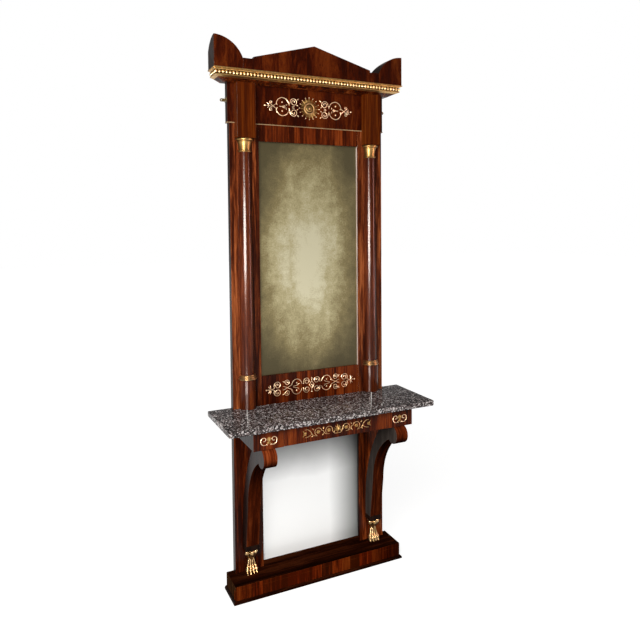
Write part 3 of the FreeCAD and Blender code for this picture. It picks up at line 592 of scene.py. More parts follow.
def milky_silvering_painted_shade(name, node):
    """Silvering that has gone milky, with painted shade in grey along its top, its right edge and its foot.
    """
    low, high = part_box(node)
    material, tree, place = new_finish(name)
    parts = axes(tree, place)
    cloud = noise(tree, place, 4.0)
    uneven = spread(tree, cloud, 0.3, 0.7, 0.96, 1.04)
    from_top = sums(tree, "MULTIPLY", sums(tree, "SUBTRACT", high.z, parts["Z"]), uneven)
    from_right = sums(tree, "MULTIPLY", sums(tree, "SUBTRACT", high.x, parts["X"]), uneven)
    from_foot = sums(tree, "MULTIPLY", sums(tree, "SUBTRACT", parts["Z"], low.z), uneven)
    white = (1.0, 1.0, 1.0)
    # Painted shade: grey along the top and the right edge, and a little at the foot.
    top_painted_shade = ramp(tree, spread(tree, from_top, 0.13, 0.30), (0.0, (0.26, 0.262, 0.26)),
                    (0.35, (0.50, 0.502, 0.50)), (0.7, (0.80, 0.80, 0.80)), (1.0, white))
    right_painted_shade = ramp(tree, spread(tree, from_right, 0.0, 0.17), (0.0, (0.13, 0.132, 0.13)),
                      (0.30, (0.38, 0.384, 0.38)), (1.0, white))
    foot_painted_shade = ramp(tree, spread(tree, from_foot, 0.0, 0.06), (0.0, (0.92, 0.92, 0.92)), (1.0, white))
    colour = ramp(tree, cloud, (0.3, (0.93, 0.94, 0.945)), (0.7, (0.96, 0.965, 0.97)))
    for tone in (top_painted_shade, right_painted_shade, foot_painted_shade):
        colour = blend(tree, 1.0, colour, tone, "MULTIPLY")
    grit = noise(tree, place, 90.0)
    metal = spread(tree, from_foot, 0.0, 0.22, 0.12, 0.50)
    polish(tree, colour, spread(tree, cloud, 0.3, 0.7, 0.30, 0.38), grit, 0.02, 0.0004, Metallic=metal)
    return material


upper_silvering = aged_silvering("upper_silvering", "upper_mirror_plate")
lower_silvering = milky_silvering_painted_shade("lower_silvering", "lower_mirror_plate")
print("plates:", upper_silvering.name, lower_silvering.name)

# %% [markdown]
# ## Softening an edge
#
# Nearly every board of the frame is a sawn and veneered box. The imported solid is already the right
# shape, but its edges are razor sharp, and real edges catch light. So each board is a copy of its solid:
# the loose triangles are merged, flat faces are joined, the sharp edges get a narrow bevel, and the
# faces made by the bevel are marked as worn. Faces that look to a side, to the front, to the back or
# inwards can take a finish of their own.

# %% Define the dressed board
touching = 1e-5
flat_angle, sharp_angle = math.radians(0.6), math.radians(28)
square_on = 0.7


def place_piece(name, mesh, node, finish, sharp=20.0):
    """Give a finished mesh its object, body, slot and the node it stands for."""
    if not mesh.materials:
        mesh.materials.append(finish)
    mesh.polygons.foreach_set("use_smooth", [True] * len(mesh.polygons))
    mesh.set_sharp_from_angle(angle=math.radians(sharp))
    piece = bpy.data.objects.new(name, mesh)
    scene.collection.objects.link(piece)
    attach(piece, nodes[node]["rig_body"])
    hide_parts(node)
    return piece


def merged_solid(node):
    """A node's mesh as a bmesh with its triangles merged and its flat faces joined."""
    solid = bmesh.new()
    solid.from_mesh(nodes[node].data)
    bmesh.ops.remove_doubles(solid, verts=solid.verts, dist=touching)
    bmesh.ops.dissolve_limit(solid, angle_limit=flat_angle, verts=solid.verts, edges=solid.edges)
    return solid


def kept_mesh(name, shape, *finishes):
    """A bmesh kept as a mesh with its finishes."""
    mesh = bpy.data.meshes.new(name)
    shape.to_mesh(mesh)
    shape.free()
    for finish in finishes:
        mesh.materials.append(finish)
    return mesh


def dressed(node, finish, side=None, front=None, back=None, inner=None, bevel=0.0009, steps=2):
    """A copy of a node with worn bevels, and other finishes on the faces that look another way."""
    solid = merged_solid(node)
    for layer in list(solid.loops.layers.uv):
        solid.loops.layers.uv.remove(layer)
    worn = solid.faces.layers.float.new("worn_edge")
    edges = [e for e in solid.edges if len(e.link_faces) == 2 and e.calc_face_angle(0.0) > sharp_angle]
    eased = bmesh.ops.bevel(solid, geom=edges, offset=bevel, segments=steps, profile=0.5, affect="EDGES",
                            clamp_overlap=True)
    for face in eased["faces"]:
        face[worn] = 1.0
    finishes = [finish] + [other for other in (side, front, back, inner) if other]
    for face in solid.faces:
        across = face.calc_center_median().x
        if inner and face.normal.x * across < -square_on * abs(across):
            face.material_index = finishes.index(inner)
        elif side and abs(face.normal.x) > square_on:
            face.material_index = finishes.index(side)
        elif front and face.normal.y < -square_on:
            face.material_index = finishes.index(front)
        elif back and face.normal.y > square_on:
            face.material_index = finishes.index(back)
    mesh = kept_mesh(node + "_dressed", solid, *finishes)
    return place_piece(node + "_dressed", mesh, node, finish)


print("boards can be dressed")

# %% [markdown]
# ## Dressing the boards
#
# Veneer is only laid where it shows. As is usual in such work, the fronts are rosewood, the sides are
# stained black and the backs are bare pine. So each board names the finish of its front first, and then
# those of the faces that look another way. The two ears are not quite the same tone on both sides, and
# the legs and lower stiles differ by painted light: the left lower stile takes painted shade, the right
# one painted light and the right leg's sides a painted sheen. So these are named one by one. The inner
# sides of the upper stiles carry a painted highlight.

# %% Dress the boards
for side in ("left", "right"):
    # The inner sides of the upper stiles carry a painted highlight.
    dressed("upper_stile_" + side, frame_rosewood, ebonised, back=pine, inner=polished_edge)
    dressed("apron_end_block_" + side, rail_rosewood, ebonised)
dressed("scroll_leg_left", leg_rosewood, ebonised, bevel=0.0012)
# The right leg's sides take a painted sheen.
dressed("scroll_leg_right", leg_rosewood, painted_sheen_side, bevel=0.0012)
# The left lower stile takes painted shade, and the right one painted light.
dressed("lower_stile_left", painted_shade_rosewood, ebonised, back=pine)
dressed("lower_stile_right", bright_rosewood, ebonised, back=pine)
for node in ("upper_bottom_rail", "upper_top_rail", "lower_top_rail", "drawer_front"):
    dressed(node, rail_rosewood, back=pine)
dressed("pediment_ear_left", ear_rosewood, ebonised, back=pine, bevel=0.0015)
dressed("pediment_ear_right", ear_rosewood, dark_stain, back=pine, bevel=0.0015)
dressed("lower_bottom_rail", plinth_rosewood, back=pine)
dressed("frieze_board", frieze_rosewood, ebonised, back=pine)
dressed("dosserets", dosseret_rosewood)
dressed("pediment_board", frieze_rosewood, ebonised, back=pine)
dressed("apron_side_rails", ebonised)
dressed("ankle_blocks", dark_stain, bevel=0.002)
dressed("frieze_fillet", boxwood, bevel=0.0008)
# The bed mould faces down into shade, so its lighter copy of the rosewood is painted light.
dressed("cornice_bed_mould", bright_rosewood, back=pine)
dressed("plinth_front", banded_rosewood, bevel=0.0004)
dressed("plinth_ends", brown_stain, bevel=0.0004)
dressed("plinth_top", plinth_rosewood, brown_stain, banded_rosewood, bevel=0.0008)
dressed("plinth_moulding_front", plinth_rosewood, bevel=0.0006)
dressed("plinth_moulding_returns", dark_stain, bevel=0.0006)
dressed("marble_top", granite, granite_edge, granite_edge, bevel=0.0016, steps=3)
dressed("wall_eyes", dull_brass, bevel=0.0005)

# %% [markdown]
# ## What stays as it was packed
#
# Backboards, slips, blocks, braces, runners and the drawer's carcase are plain sawn wood on the real
# thing too, and the mirror plates are flat sheets. Their solids are right as they are, so they only get
# a finish.

# %% Finish the plain solids
plain_finishes = {
    pine: ("lower_backboard", "upper_backboard", "plinth_back_rail", "plinth_corner_blocks", "cornice_core",
           "pediment_braces", "apron_back_rail", "lower_glazing_slips", "upper_glazing_slips"),
    drawer_pine: ("drawer_side_left", "drawer_side_right", "drawer_back", "drawer_bottom", "drawer_runners",
                  "drawer_guides", "drawer_stops"),
    upper_silvering: ("upper_mirror_plate",),
    lower_silvering: ("lower_mirror_plate",),
}
for finish, names in plain_finishes.items():
    for name in names:
        for material_slot in nodes[name].material_slots:
            material_slot.material = finish
print("plain solids finished:", sum(len(names) for names in plain_finishes.values()))

# %% [markdown]
# ## Half columns
#
# A half column stands in front of each upper stile. It was turned on a lathe as a whole and then sawn in
# two, so the mesh is made the same way: an outline is turned through half a circle. The shaft swells a
# little on its way up, which a straight taper would miss, and its base ring and capital are turned
# sleeves of gilt brass.

# %% Turn the columns
column_x, column_y = 0.329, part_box("dosserets")[1].y


def half_turned(node, outline, finish, facets=44):
    """Turn an outline of (radius, height) half round each column's axis, as a closed mesh."""
    turned = bmesh.new()
    turns = [math.pi * step / facets for step in range(facets + 1)]
    for side in (-1, 1):
        rings = []
        for radius, z in outline:
            places = [(side * column_x - radius * math.cos(turn), column_y - radius * math.sin(turn), z)
                      for turn in turns]
            rings.append([turned.verts.new(place) for place in places])
        for ring, after in zip(rings, rings[1:] + rings[:1]):
            for i in range(facets):
                turned.faces.new((ring[i], ring[i + 1], after[i + 1], after[i]))
        for end in (0, -1):
            turned.faces.new([ring[end] for ring in rings])
    bmesh.ops.remove_doubles(turned, verts=turned.verts, dist=1e-6)
    bmesh.ops.dissolve_degenerate(turned, edges=turned.edges, dist=1e-7)
    bmesh.ops.recalc_face_normals(turned, faces=turned.faces)
    mesh = kept_mesh(node + "_turned", turned)
    return place_piece(node + "_turned", mesh, node, finish, sharp=32.0)


def bulge(first, last, swell, steps=6):
    """Points from one outline point to another, bowed outwards by a radius."""
    return [(first[0] + (last[0] - first[0]) * i / steps + swell * math.sin(math.pi * i / steps),
             first[1] + (last[1] - first[1]) * i / steps) for i in range(steps + 1)]


foot, shaft_foot, shaft_top = 0.850, 0.986, 2.093
shaft = bulge((0.033, shaft_foot), (0.027, shaft_top), 0.0012, 20)
half_turned("column_shafts", [(0, shaft_foot)] + shaft + [(0, shaft_top)], column_rosewood)

pedestal_radius, eased = 0.040, 0.0008
pedestal = [(0, foot), (pedestal_radius - eased, foot), (pedestal_radius, foot + eased),
            (pedestal_radius, shaft_foot - eased), (pedestal_radius - eased, shaft_foot), (0, shaft_foot)]
half_turned("column_pedestals", pedestal, pedestal_rosewood)

ring_bore, ring_height, ring_swell, groove_depth, groove_rise = 0.0335, 0.023, 0.0022, 0.0024, 0.0004
ring_outline = [(ring_bore, shaft_foot)]
for radius, above, tall in ((0.0420, 0.0000, 0.0060), (0.0390, 0.0098, 0.0046), (0.0366, 0.0178, 0.0046)):
    bead = bulge((radius, shaft_foot + above), (radius, shaft_foot + above + tall), ring_swell)
    ring_outline += bead + [(radius - groove_depth, bead[-1][1] + groove_rise)]
ring_outline += [(ring_bore, shaft_foot + ring_height)]
half_turned("column_base_rings", ring_outline, warm_brass)

cap_foot, cap_bore = 2.031, 0.0278
neck_bead = bulge((0.0300, cap_foot), (0.0300, cap_foot + 0.0075), 0.0022)
throat = [(0.0286, cap_foot + 0.0085), (0.0286, cap_foot + 0.0110)]
bell = [(0.0284 + 0.0056 * (i / 10) ** 2.2, cap_foot + 0.013 + 0.034 * i / 10) for i in range(11)]
rim = [(0.0350, cap_foot + 0.0480), (0.0350, cap_foot + 0.0495), (0.0332, cap_foot + 0.0502),
       (0.0332, cap_foot + 0.0518)]
top_bead = bulge((0.0402, cap_foot + 0.0522), (0.0406, cap_foot + 0.0612), 0.0016)
capital = [(cap_bore, cap_foot)] + neck_bead + throat + bell + rim + top_bead
capital += [(0.0400, shaft_top), (cap_bore, shaft_top)]
half_turned("column_capitals", capital, turned_brass)

# %% [markdown]
# ## Gilt cornice
#
# A gilt moulding runs across the front of the cornice and back along both ends, mitred at the corners.
# Its outline has a lip, a cove, a hollow for a row of beads and a sloping foot, and the hollow is dark
# with dirt and painted shade. A curve with a bevel profile could draw it, but each run only needs two
# ends, so the faces are made directly between them, and the mitre comes from where the ends are put.

# %% Sweep the cornice strip
low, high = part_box("gilt_cornice_front")
cornice_half, cornice_front, cornice_top = high.x, low.y, high.z
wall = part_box("gilt_cornice_returns")[1].y
lip = [(0.0006, 0.0), (0.0, -0.0006), (0.0, -0.0047), (0.0006, -0.0053)]
quarter_turns = [math.pi / 2 * i / 6 for i in range(1, 7)]
cove = [(0.0098 * math.sin(turn), -0.0053 - 0.0045 * (1 - math.cos(turn))) for turn in quarter_turns]
hollow = [(0.0135, -0.0104), (0.0155, -0.0140), (0.0160, -0.0195), (0.0155, -0.0250), (0.0130, -0.0284)]
fillet = [(0.0098, -0.0288), (0.0092, -0.0294), (0.0092, -0.0324), (0.0098, -0.0330)]
slope = [(0.0106, -0.0334), (0.0190, -0.0345), (0.0245, -0.0372), (0.0260, -0.0380)]
behind = [(0.0400, -0.0380), (0.0400, 0.0)]
strip_outline = lip + cove + hollow + fillet + slope + behind


def corner(side):
    """The mitred end of a run, as a function from an inset and a height to a place."""
    return lambda inset, z: (side * (cornice_half - inset), cornice_front + inset, z)


def wall_end(side):
    """The end of a return at the wall, in the same way."""
    return lambda inset, z: (side * (cornice_half - inset), wall, z)


def swept(node, runs):
    """A strip between pairs of ends, with dirt and painted shade in its hollow."""
    strip = bmesh.new()
    count = len(strip_outline)
    for begin, finish in runs:
        ends = [[strip.verts.new(end(inset, cornice_top + z)) for inset, z in strip_outline]
                for end in (begin, finish)]
        for i in range(count):
            j = (i + 1) % count
            face = strip.faces.new((ends[0][i], ends[1][i], ends[1][j], ends[0][j]))
            # The faces of the bead hollow take dirt and painted shade.
            face.material_index = 1 if strip_outline[i] in hollow or strip_outline[j] in hollow else 0
        strip.faces.new(ends[0])
        strip.faces.new(ends[1])
    bmesh.ops.recalc_face_normals(strip, faces=strip.faces)
    mesh = kept_mesh(node + "_swept", strip, giltwood, hollow_gilding)
    return place_piece(node + "_swept", mesh, node, giltwood, sharp=30.0)


swept("gilt_cornice_front", [(corner(-1), corner(1))])
swept("gilt_cornice_returns", [(corner(-1), wall_end(-1)), (corner(1), wall_end(1))])
print("cornice strip", round(2 * cornice_half, 3), "m wide")

# %% [markdown]
# ## Beads in the cornice
#
# A row of egg-shaped beads lies in the hollow of the moulding. They could be copied by hand, but they
# repeat along a path, so Geometry Nodes set them out: a line is cut into equal steps, a small ball drawn
# tall lands on each, and the balls are made real. The functions for that come first, since the mounts
# and the screws use them again.

# %% Set out the beads with Geometry Nodes
def new_tree(name, **sizes):
    """An empty geometry tree with named sizes, and its input and output nodes."""
    tree = bpy.data.node_groups.new(name, "GeometryNodeTree")
    tree.interface.new_socket("Geometry", in_out="INPUT", socket_type="NodeSocketGeometry")
    for label, value in sizes.items():
        kind = "NodeSocketInt" if isinstance(value, int) else "NodeSocketFloat"
        tree.interface.new_socket(label, in_out="INPUT", socket_type=kind).default_value = value
    tree.interface.new_socket("Geometry", in_out="OUTPUT", socket_type="NodeSocketGeometry")
    return tree, tree.nodes.new("NodeGroupInput").outputs, tree.nodes.new("NodeGroupOutput").inputs


def joined(tree, *parts):
    """Several geometries as one."""
    node = tree.nodes.new("GeometryNodeJoinGeometry")
    for part in parts:
        tree.links.new(part, node.inputs[0])
    return node.outputs[0]


def close_tree(tree, geometry, finish, output):
    """Make the instances real, smooth them and give them their finish."""
    real = made(tree, "GeometryNodeRealizeInstances", {"Geometry": geometry})
    smooth = made(tree, "GeometryNodeSetShadeSmooth", {"Geometry": real})
    tree.links.new(made(tree, "GeometryNodeSetMaterial", {"Geometry": smooth, "Material": finish}), output[0])


def applied(carrier):
    """The mesh of an object after its modifiers; the object itself goes."""
    graph = bpy.context.evaluated_depsgraph_get()
    mesh = bpy.data.meshes.new_from_object(carrier.evaluated_get(graph), depsgraph=graph)
    bpy.data.objects.remove(carrier)
    return mesh


def grown(name, carrier_mesh, tree, **sizes):
    """Run a geometry tree on a carrier mesh and keep the result as a plain mesh."""
    carrier = bpy.data.objects.new(name + "_carrier", carrier_mesh)
    scene.collection.objects.link(carrier)
    modifier = carrier.modifiers.new("grow", "NODES")
    modifier.node_group = tree
    for item in tree.interface.items_tree:
        if item.in_out == "INPUT" and item.name in sizes:
            modifier[item.identifier] = sizes[item.name]
    mesh = applied(carrier)
    mesh.name = name
    finish = mesh.materials[-1]
    mesh.materials.clear()
    mesh.materials.append(finish)
    return mesh


def path_mesh(name, strokes):
    """A carrier of open lines; each stroke is a list of (place, radius)."""
    places, edges, radii = [], [], []
    for stroke in strokes:
        start = len(places)
        places += [point for point, _ in stroke]
        radii += [radius for _, radius in stroke]
        edges += [(i, i + 1) for i in range(start, len(places) - 1)]
    mesh = bpy.data.meshes.new(name)
    mesh.from_pydata(places, edges, [])
    mesh.attributes.new("wire_radius", "FLOAT", "POINT").data.foreach_set("value", radii)
    return mesh


bead_count, bead_inset, bead_drop, bead_radius = 58, 0.0118, 0.0195, 0.0058
bead_x, bead_y, bead_z = cornice_half - bead_inset, cornice_front + bead_inset, cornice_top - bead_drop
spacing = 2 * bead_x / bead_count
bead_sizes = {"Radius": bead_radius, "Spacing": spacing, "Tall": 1.35}
bead_tree, given, result = new_tree("bead_row", **bead_sizes)
line = made(bead_tree, "GeometryNodeMeshToCurve", {"Mesh": given["Geometry"]})
cut = made(bead_tree, "GeometryNodeResampleCurve", {"Curve": line, "Length": given["Spacing"]}, mode="LENGTH")
bead = made(bead_tree, "GeometryNodeMeshIcoSphere", {"Radius": given["Radius"], "Subdivisions": 2})
tall = made(bead_tree, "ShaderNodeCombineXYZ", {"X": 1.0, "Y": 1.0, "Z": given["Tall"]})
row = made(bead_tree, "GeometryNodeInstanceOnPoints", {"Points": cut, "Instance": bead, "Scale": tall})
close_tree(bead_tree, row, bead_gilding, result)

rows = [[((-bead_x, bead_y, bead_z), 0), ((bead_x, bead_y, bead_z), 0)]]
for side in (-1, 1):
    first, last = bead_y + spacing, wall - bead_radius
    rows.append([((side * bead_x, first, bead_z), 0), ((side * bead_x, last, bead_z), 0)])
bead_mesh = grown("cornice_beads", path_mesh("bead_path", rows), bead_tree, **bead_sizes)
beads = bpy.data.objects.new("cornice_beads", bead_mesh)
scene.collection.objects.link(beads)
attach(beads, "stand")
print("beads:", len(bead_mesh.polygons), "faces, one every", round(spacing * 1000, 1), "mm")

# %% [markdown]
# ## Gilt scroll mounts
#
# Pierced brass mounts of scrolls and berries lie on the frieze, the rail under the glass and the apron.
# Each is drawn as strokes on a flat sheet, as the founder's pattern was: a stroke is a line of points
# with a thickness at each, in millimetres, so the same few words make volutes, arcs, leaves and buds.
# Only a quarter or a half is drawn, and copied to the other side.

# %% Define the strokes
def volute(u, v, size, turns, last_angle, rod, ease=0.62):
    """A spiral from its eye outwards; it ends at last_angle (degrees) on a circle of that size."""
    eye_size, eye_thick = 0.14, 1.3
    steps = int(14 * turns) + 4
    points = []
    for i in range(steps + 1):
        share = i / steps
        angle = math.radians(last_angle) + 2 * math.pi * turns * (1 - share)
        radius = size * (eye_size + (1 - eye_size) * share ** ease)
        thick = rod * (eye_thick + (1 - eye_thick) * min(1.0, share * 4.0))
        points.append((u + radius * math.cos(angle), v + radius * math.sin(angle), thick))
    return points


def through(*marks, steps=8):
    """A smooth line through marks of (u, v, thickness)."""
    points = []
    for i in range(len(marks) - 1):
        near = [marks[max(0, min(len(marks) - 1, k))] for k in (i - 1, i, i + 1, i + 2)]
        for step in range(steps):
            t = step / steps
            points.append(tuple(0.5 * (2 * b + (c - a) * t + (2 * a - 5 * b + 4 * c - d) * t * t
                                       + (3 * b - a - 3 * c + d) * t ** 3) for a, b, c, d in zip(*near)))
    return points + [tuple(marks[-1])]


def tailed(spiral, *marks):
    """A spiral that runs on through further marks."""
    return spiral + through(spiral[-1], *marks)[1:]


def arc(u, v, size, first, last, rod, steps=16):
    """Part of a circle between two angles in degrees."""
    turns = [math.radians(first + (last - first) * i / steps) for i in range(steps + 1)]
    return [(u + size * math.cos(turn), v + size * math.sin(turn), rod) for turn in turns]


def berry(u, v, size):
    """A round drop."""
    return [(u - size * 0.02, v, size), (u + size * 0.02, v, size)]


def leaf(u, v, to_u, to_v, wide):
    """A pointed leaf from its stalk to its tip."""
    outline = ((0, 0.25), (0.2, 0.7), (0.42, 1.0), (0.65, 0.8), (0.85, 0.42), (1, 0.12))
    return [(u + (to_u - u) * share, v + (to_v - v) * share, wide * width) for share, width in outline]


def fan(u, v, size, count, spread_degrees, wide):
    """Leaves that stand up from one point like a fan."""
    strokes = []
    for k in range(count):
        off_middle = k / (count - 1) - 0.5
        angle = math.radians(90 + spread_degrees * off_middle)
        reach = size * (1.0 - 0.25 * abs(off_middle) * 2)
        strokes.append(leaf(u, v, u + reach * math.cos(angle), v + reach * math.sin(angle), wide))
    return strokes


def rosette(u, v, size, petals=6):
    """A ring of round petals about an eye."""
    turns = [2 * math.pi * k / petals for k in range(petals)]
    ring = [berry(u + size * 0.62 * math.cos(turn), v + size * 0.62 * math.sin(turn), size * 0.40)
            for turn in turns]
    return ring + [berry(u, v, size * 0.42)]


def above_and_below(strokes):
    """The strokes with their copies below the level middle line."""
    return strokes + [[(u, -v, r) for u, v, r in stroke] for stroke in strokes]


def left_and_right(strokes):
    """The strokes with their copies on the other side of the upright middle line."""
    return strokes + [[(-u, v, r) for u, v, r in stroke] for stroke in strokes]


print("strokes can be drawn")

# %% [markdown]
# ## From strokes to brass
#
# A founder pressed the pattern into sand and poured brass. Here one Geometry Nodes tree turns every
# stroke into a round wire with a ball on each end, and the wire is then flattened a little and laid on
# the wood. Boxes could not give the round backs that catch the light, and a curve's own bevel would have
# no rounded ends.

# %% Define how a mount is cast
wire_sizes = {"Sides": 9}
wire_tree, given, result = new_tree("gilt_wire", **wire_sizes)
line = made(wire_tree, "GeometryNodeMeshToCurve", {"Mesh": given["Geometry"]})
thick = made(wire_tree, "GeometryNodeInputNamedAttribute", {"Name": "wire_radius"}, data_type="FLOAT")
section = made(wire_tree, "GeometryNodeCurvePrimitiveCircle", {"Resolution": given["Sides"], "Radius": 1.0})
wire = made(wire_tree, "GeometryNodeCurveToMesh", {
    "Curve": line, "Profile Curve": section, "Scale": thick, "Fill Caps": True})
ends = made(wire_tree, "GeometryNodeCurveEndpointSelection", {"Start Size": 1, "End Size": 1})
ball = made(wire_tree, "GeometryNodeMeshIcoSphere", {"Radius": 1.0, "Subdivisions": 2})
balls = made(wire_tree, "GeometryNodeInstanceOnPoints", {
    "Points": line, "Selection": ends, "Instance": ball, "Scale": thick})
close_tree(wire_tree, joined(wire_tree, wire, balls), gilt_brass, result)
raised = 0.7


def cast(name, strokes, centre, depth_share=0.7):
    """Wire strokes drawn in millimetres, flattened a little and laid on the wood at a place."""
    flat = path_mesh(name + "_path", [[((u, v, 0.0), r) for u, v, r in stroke] for stroke in strokes])
    mesh = grown(name, flat, wire_tree, **wire_sizes)
    for vertex in mesh.vertices:
        u, v, rise = vertex.co
        forward = rise * depth_share + raised
        vertex.co = (centre[0] + u / 1000, centre[1] - forward / 1000, centre[2] + v / 1000)
    return mesh


def join_meshes(name, *parts):
    """Meshes as one, with faces turned outwards; a part is a mesh and the finishes of its slots."""
    whole, finishes = bmesh.new(), []
    for mesh, own in parts:
        start = len(whole.faces)
        whole.from_mesh(mesh)
        whole.faces.ensure_lookup_table()
        finishes += [finish for finish in own if finish not in finishes]
        for face in whole.faces[start:]:
            face.material_index = finishes.index(own[face.material_index])
    bmesh.ops.recalc_face_normals(whole, faces=whole.faces)
    return kept_mesh(name, whole, *finishes)


def lay_mount(node, *parts):
    """Join the cast parts of a mount and put them in the place of their node."""
    mesh = join_meshes(node + "_cast", *parts)
    place_piece(node + "_cast", mesh, node, gilt_brass, sharp=40.0)
    print(node, "has", len(mesh.polygons), "faces")


def middle_of(node):
    """The middle of a mount, on the wood behind it."""
    low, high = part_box(node)
    return ((low.x + high.x) / 2, high.y, (low.z + high.z) / 2)


print("the wire tree has", len(wire_tree.nodes), "nodes")

# %% [markdown]
# ### The frieze mount
#
# A sun with a ringed boss stands in the middle of the frieze, with pointed rays of two lengths, and
# scrolls run out from it on both sides to a bud. The boss is turned like a button. The rays repeat round
# a circle, so they are instances too: one diamond-shaped ray, a circle of points, every second ray
# shorter.

# %% Cast the frieze mount
ring_radius = 0.028
sun_sizes = {"Rays": 32, "Ring": ring_radius, "Short": 0.62}
# The boss's finishes: plain brass, dirt and painted shade in its groove, and brighter brass on its crests as
# a painted highlight.
sun_finishes = (old_brass, hollow_gilding, warm_brass)
sun_tree, given, result = new_tree("sun_rays", **sun_sizes)
spots = made(sun_tree, "GeometryNodeMeshCircle", {"Vertices": given["Rays"], "Radius": given["Ring"]})
outward = made(sun_tree, "GeometryNodeInputPosition")
turn = made(sun_tree, "FunctionNodeAlignRotationToVector", {"Vector": outward}, axis="X")
odd = sums(sun_tree, "MODULO", made(sun_tree, "GeometryNodeInputIndex"), 2.0)
size = spread(sun_tree, odd, 0.0, 1.0, 1.0, given["Short"])
rays = made(sun_tree, "GeometryNodeInstanceOnPoints", {
    "Points": spots, "Instance": given["Geometry"], "Rotation": turn, "Scale": size})
close_tree(sun_tree, rays, old_brass, result)


def boss_mesh(facets=48, groove=0.8, crest=3.4):
    """The boss, from (radius, height) in millimetres; its groove takes dirt and painted shade, its crests a
    painted highlight.
    """
    outline = [(0.0, 6.8), (2.2, 6.4), (4.0, 5.2), (5.2, 3.4), (5.6, 2.0), (9.0, 2.6), (13.0, 2.4),
               (16.0, 1.6), (16.6, groove), (20.0, groove), (20.6, 2.4), (22.0, 3.8), (24.0, 4.3),
               (26.0, 3.8), (27.6, 2.4), (29.0, 0.9), (29.6, 0.0), (0.0, 0.0)]
    turned = bmesh.new()
    turns = [2 * math.pi * k / facets for k in range(facets)]
    rings = [[turned.verts.new((radius * math.cos(turn), radius * math.sin(turn), height)) for turn in turns]
             for radius, height in outline]
    for i in range(len(outline) - 1):
        heights = {outline[i][1], outline[i + 1][1]}
        # Painted shade in the groove, and a painted highlight on the crests.
        finish = 1 if heights == {groove} else 2 if min(heights) >= crest else 0
        for k in range(facets):
            n = (k + 1) % facets
            face = turned.faces.new((rings[i][k], rings[i][n], rings[i + 1][n], rings[i + 1][k]))
            face.material_index = finish
    bmesh.ops.remove_doubles(turned, verts=turned.verts, dist=touching)
    bmesh.ops.scale(turned, vec=(0.001, 0.001, 0.001), verts=turned.verts)
    return kept_mesh("sun_boss", turned)


def sun_mesh(centre, radius):
    """A ringed boss and its rays, facing the front."""
    root, half_root, half_wide, ridge = -0.002, 0.0020, 0.0028, 0.0030
    long = radius - ring_radius
    widest = long * 0.50
    ray = bpy.data.meshes.new("sun_ray")
    ray.from_pydata(
        [(root, half_root, 0), (root, -half_root, 0), (widest, half_wide, 0), (long, 0, 0.0004),
         (widest, -half_wide, 0), (widest, 0, ridge), (root, 0, 0.0012)], [],
        [(0, 2, 5, 6), (2, 3, 5), (3, 4, 5), (4, 1, 6, 5), (0, 1, 4, 3, 2), (1, 0, 6)])
    ray_mesh = grown("sun_rays", ray, sun_tree, **sun_sizes)
    mesh = join_meshes("sun", (boss_mesh(), sun_finishes), (ray_mesh, (old_brass,)))
    for vertex in mesh.vertices:
        u, v, rise = vertex.co
        vertex.co = (centre[0] + u, centre[1] - rise, centre[2] + v)
    return mesh


rod = 1.6
quarter = [
    tailed(volute(81, 24, 18.5, 1.5, -5, rod), (103, 14, rod * 0.9), (105, 8, rod * 0.7)),
    leaf(64, 35, 55, 43, 2.0), leaf(66, 12, 58, 7, 1.8), leaf(90, 2, 76, 5, 1.9),
    through((107, 14, rod * 0.8), (111, 26, rod), (122, 37, rod * 1.1), (139, 42, rod * 1.15),
            (153, 38, rod * 1.1), (164, 28, rod), (169, 16, rod * 0.9), (167, 9, rod * 0.7)),
    berry(166, 8, 2.5), berry(140, 21, 3.6), leaf(136, 2, 126, 7, 1.7), leaf(121, 5, 118, 14, 1.6),
    tailed(volute(196, 16, 9.0, 1.2, 250, rod * 0.9, ease=0.85), (193, 4, rod * 0.9), (182, -3, rod * 0.9),
           (169, -12, rod * 0.7)),
    leaf(206, 3, 215, 12, 1.8),
]
on_middle = [berry(139, 0, 3.0), leaf(136, 0, 122, 0, 2.2), leaf(142, 0, 155, 0, 2.2),
             leaf(199, 0, 217, 0, 2.2), berry(224, 0, 3.9), leaf(224, 0, 232, 0, 2.4)]
tip_ring, tip_count = 51.5, 16
tip_turns = [2 * math.pi * k / tip_count for k in range(tip_count)]
ray_tips = [berry(tip_ring * math.cos(turn), tip_ring * math.sin(turn), 2.3) for turn in tip_turns]
centre = middle_of("frieze_mount")
scrolls = cast("frieze_scrolls", left_and_right(above_and_below(quarter) + on_middle) + ray_tips, centre)
lay_mount("frieze_mount", (scrolls, (gilt_brass,)), (sun_mesh(centre, 0.056), sun_finishes))

# %% [markdown]
# ### The mount under the glass
#
# This one has a pierced diamond between four volutes, then a pair of arcs round two berries, a pair of
# small volutes, a heart of two larger ones, and a bud at each end. It is the same above and below its
# middle line, so a quarter of it is drawn.

# %% Cast the mount under the glass
rod = 1.55
quarter = [
    through((0, 18, rod), (6.5, 9, rod), (13, 0, rod)),
    volute(27, 20, 17.0, 1.45, -25, rod), berry(44, 11, 2.6),
    through((53, 12, rod * 0.8), (58, 24, rod), (68, 33, rod * 1.1), (80, 36.5, rod * 1.15),
            (92, 33, rod * 1.1), (101, 24, rod), (105, 14, rod * 0.8)),
    berry(105, 13, 2.5), berry(80, 18, 3.4),
    through((98, 2, rod * 0.7), (86, 5, rod), (75, 7, rod), (68, 14, rod * 0.8)),
    volute(130, 24, 14.0, 1.4, 5, rod), leaf(143, 26, 153, 34, 2.1),
    through((150, 9, rod * 0.8), (136, 4, rod), (121, -4, rod), (107, -10, rod * 0.8)),
    tailed(volute(179, 17, 18.5, 1.5, -35, rod * 1.1), (202, 2, rod), (212, 0, rod * 0.8)),
    leaf(213, 3, 226, 16, 2.4), leaf(212, 5, 217, 22, 2.0),
]
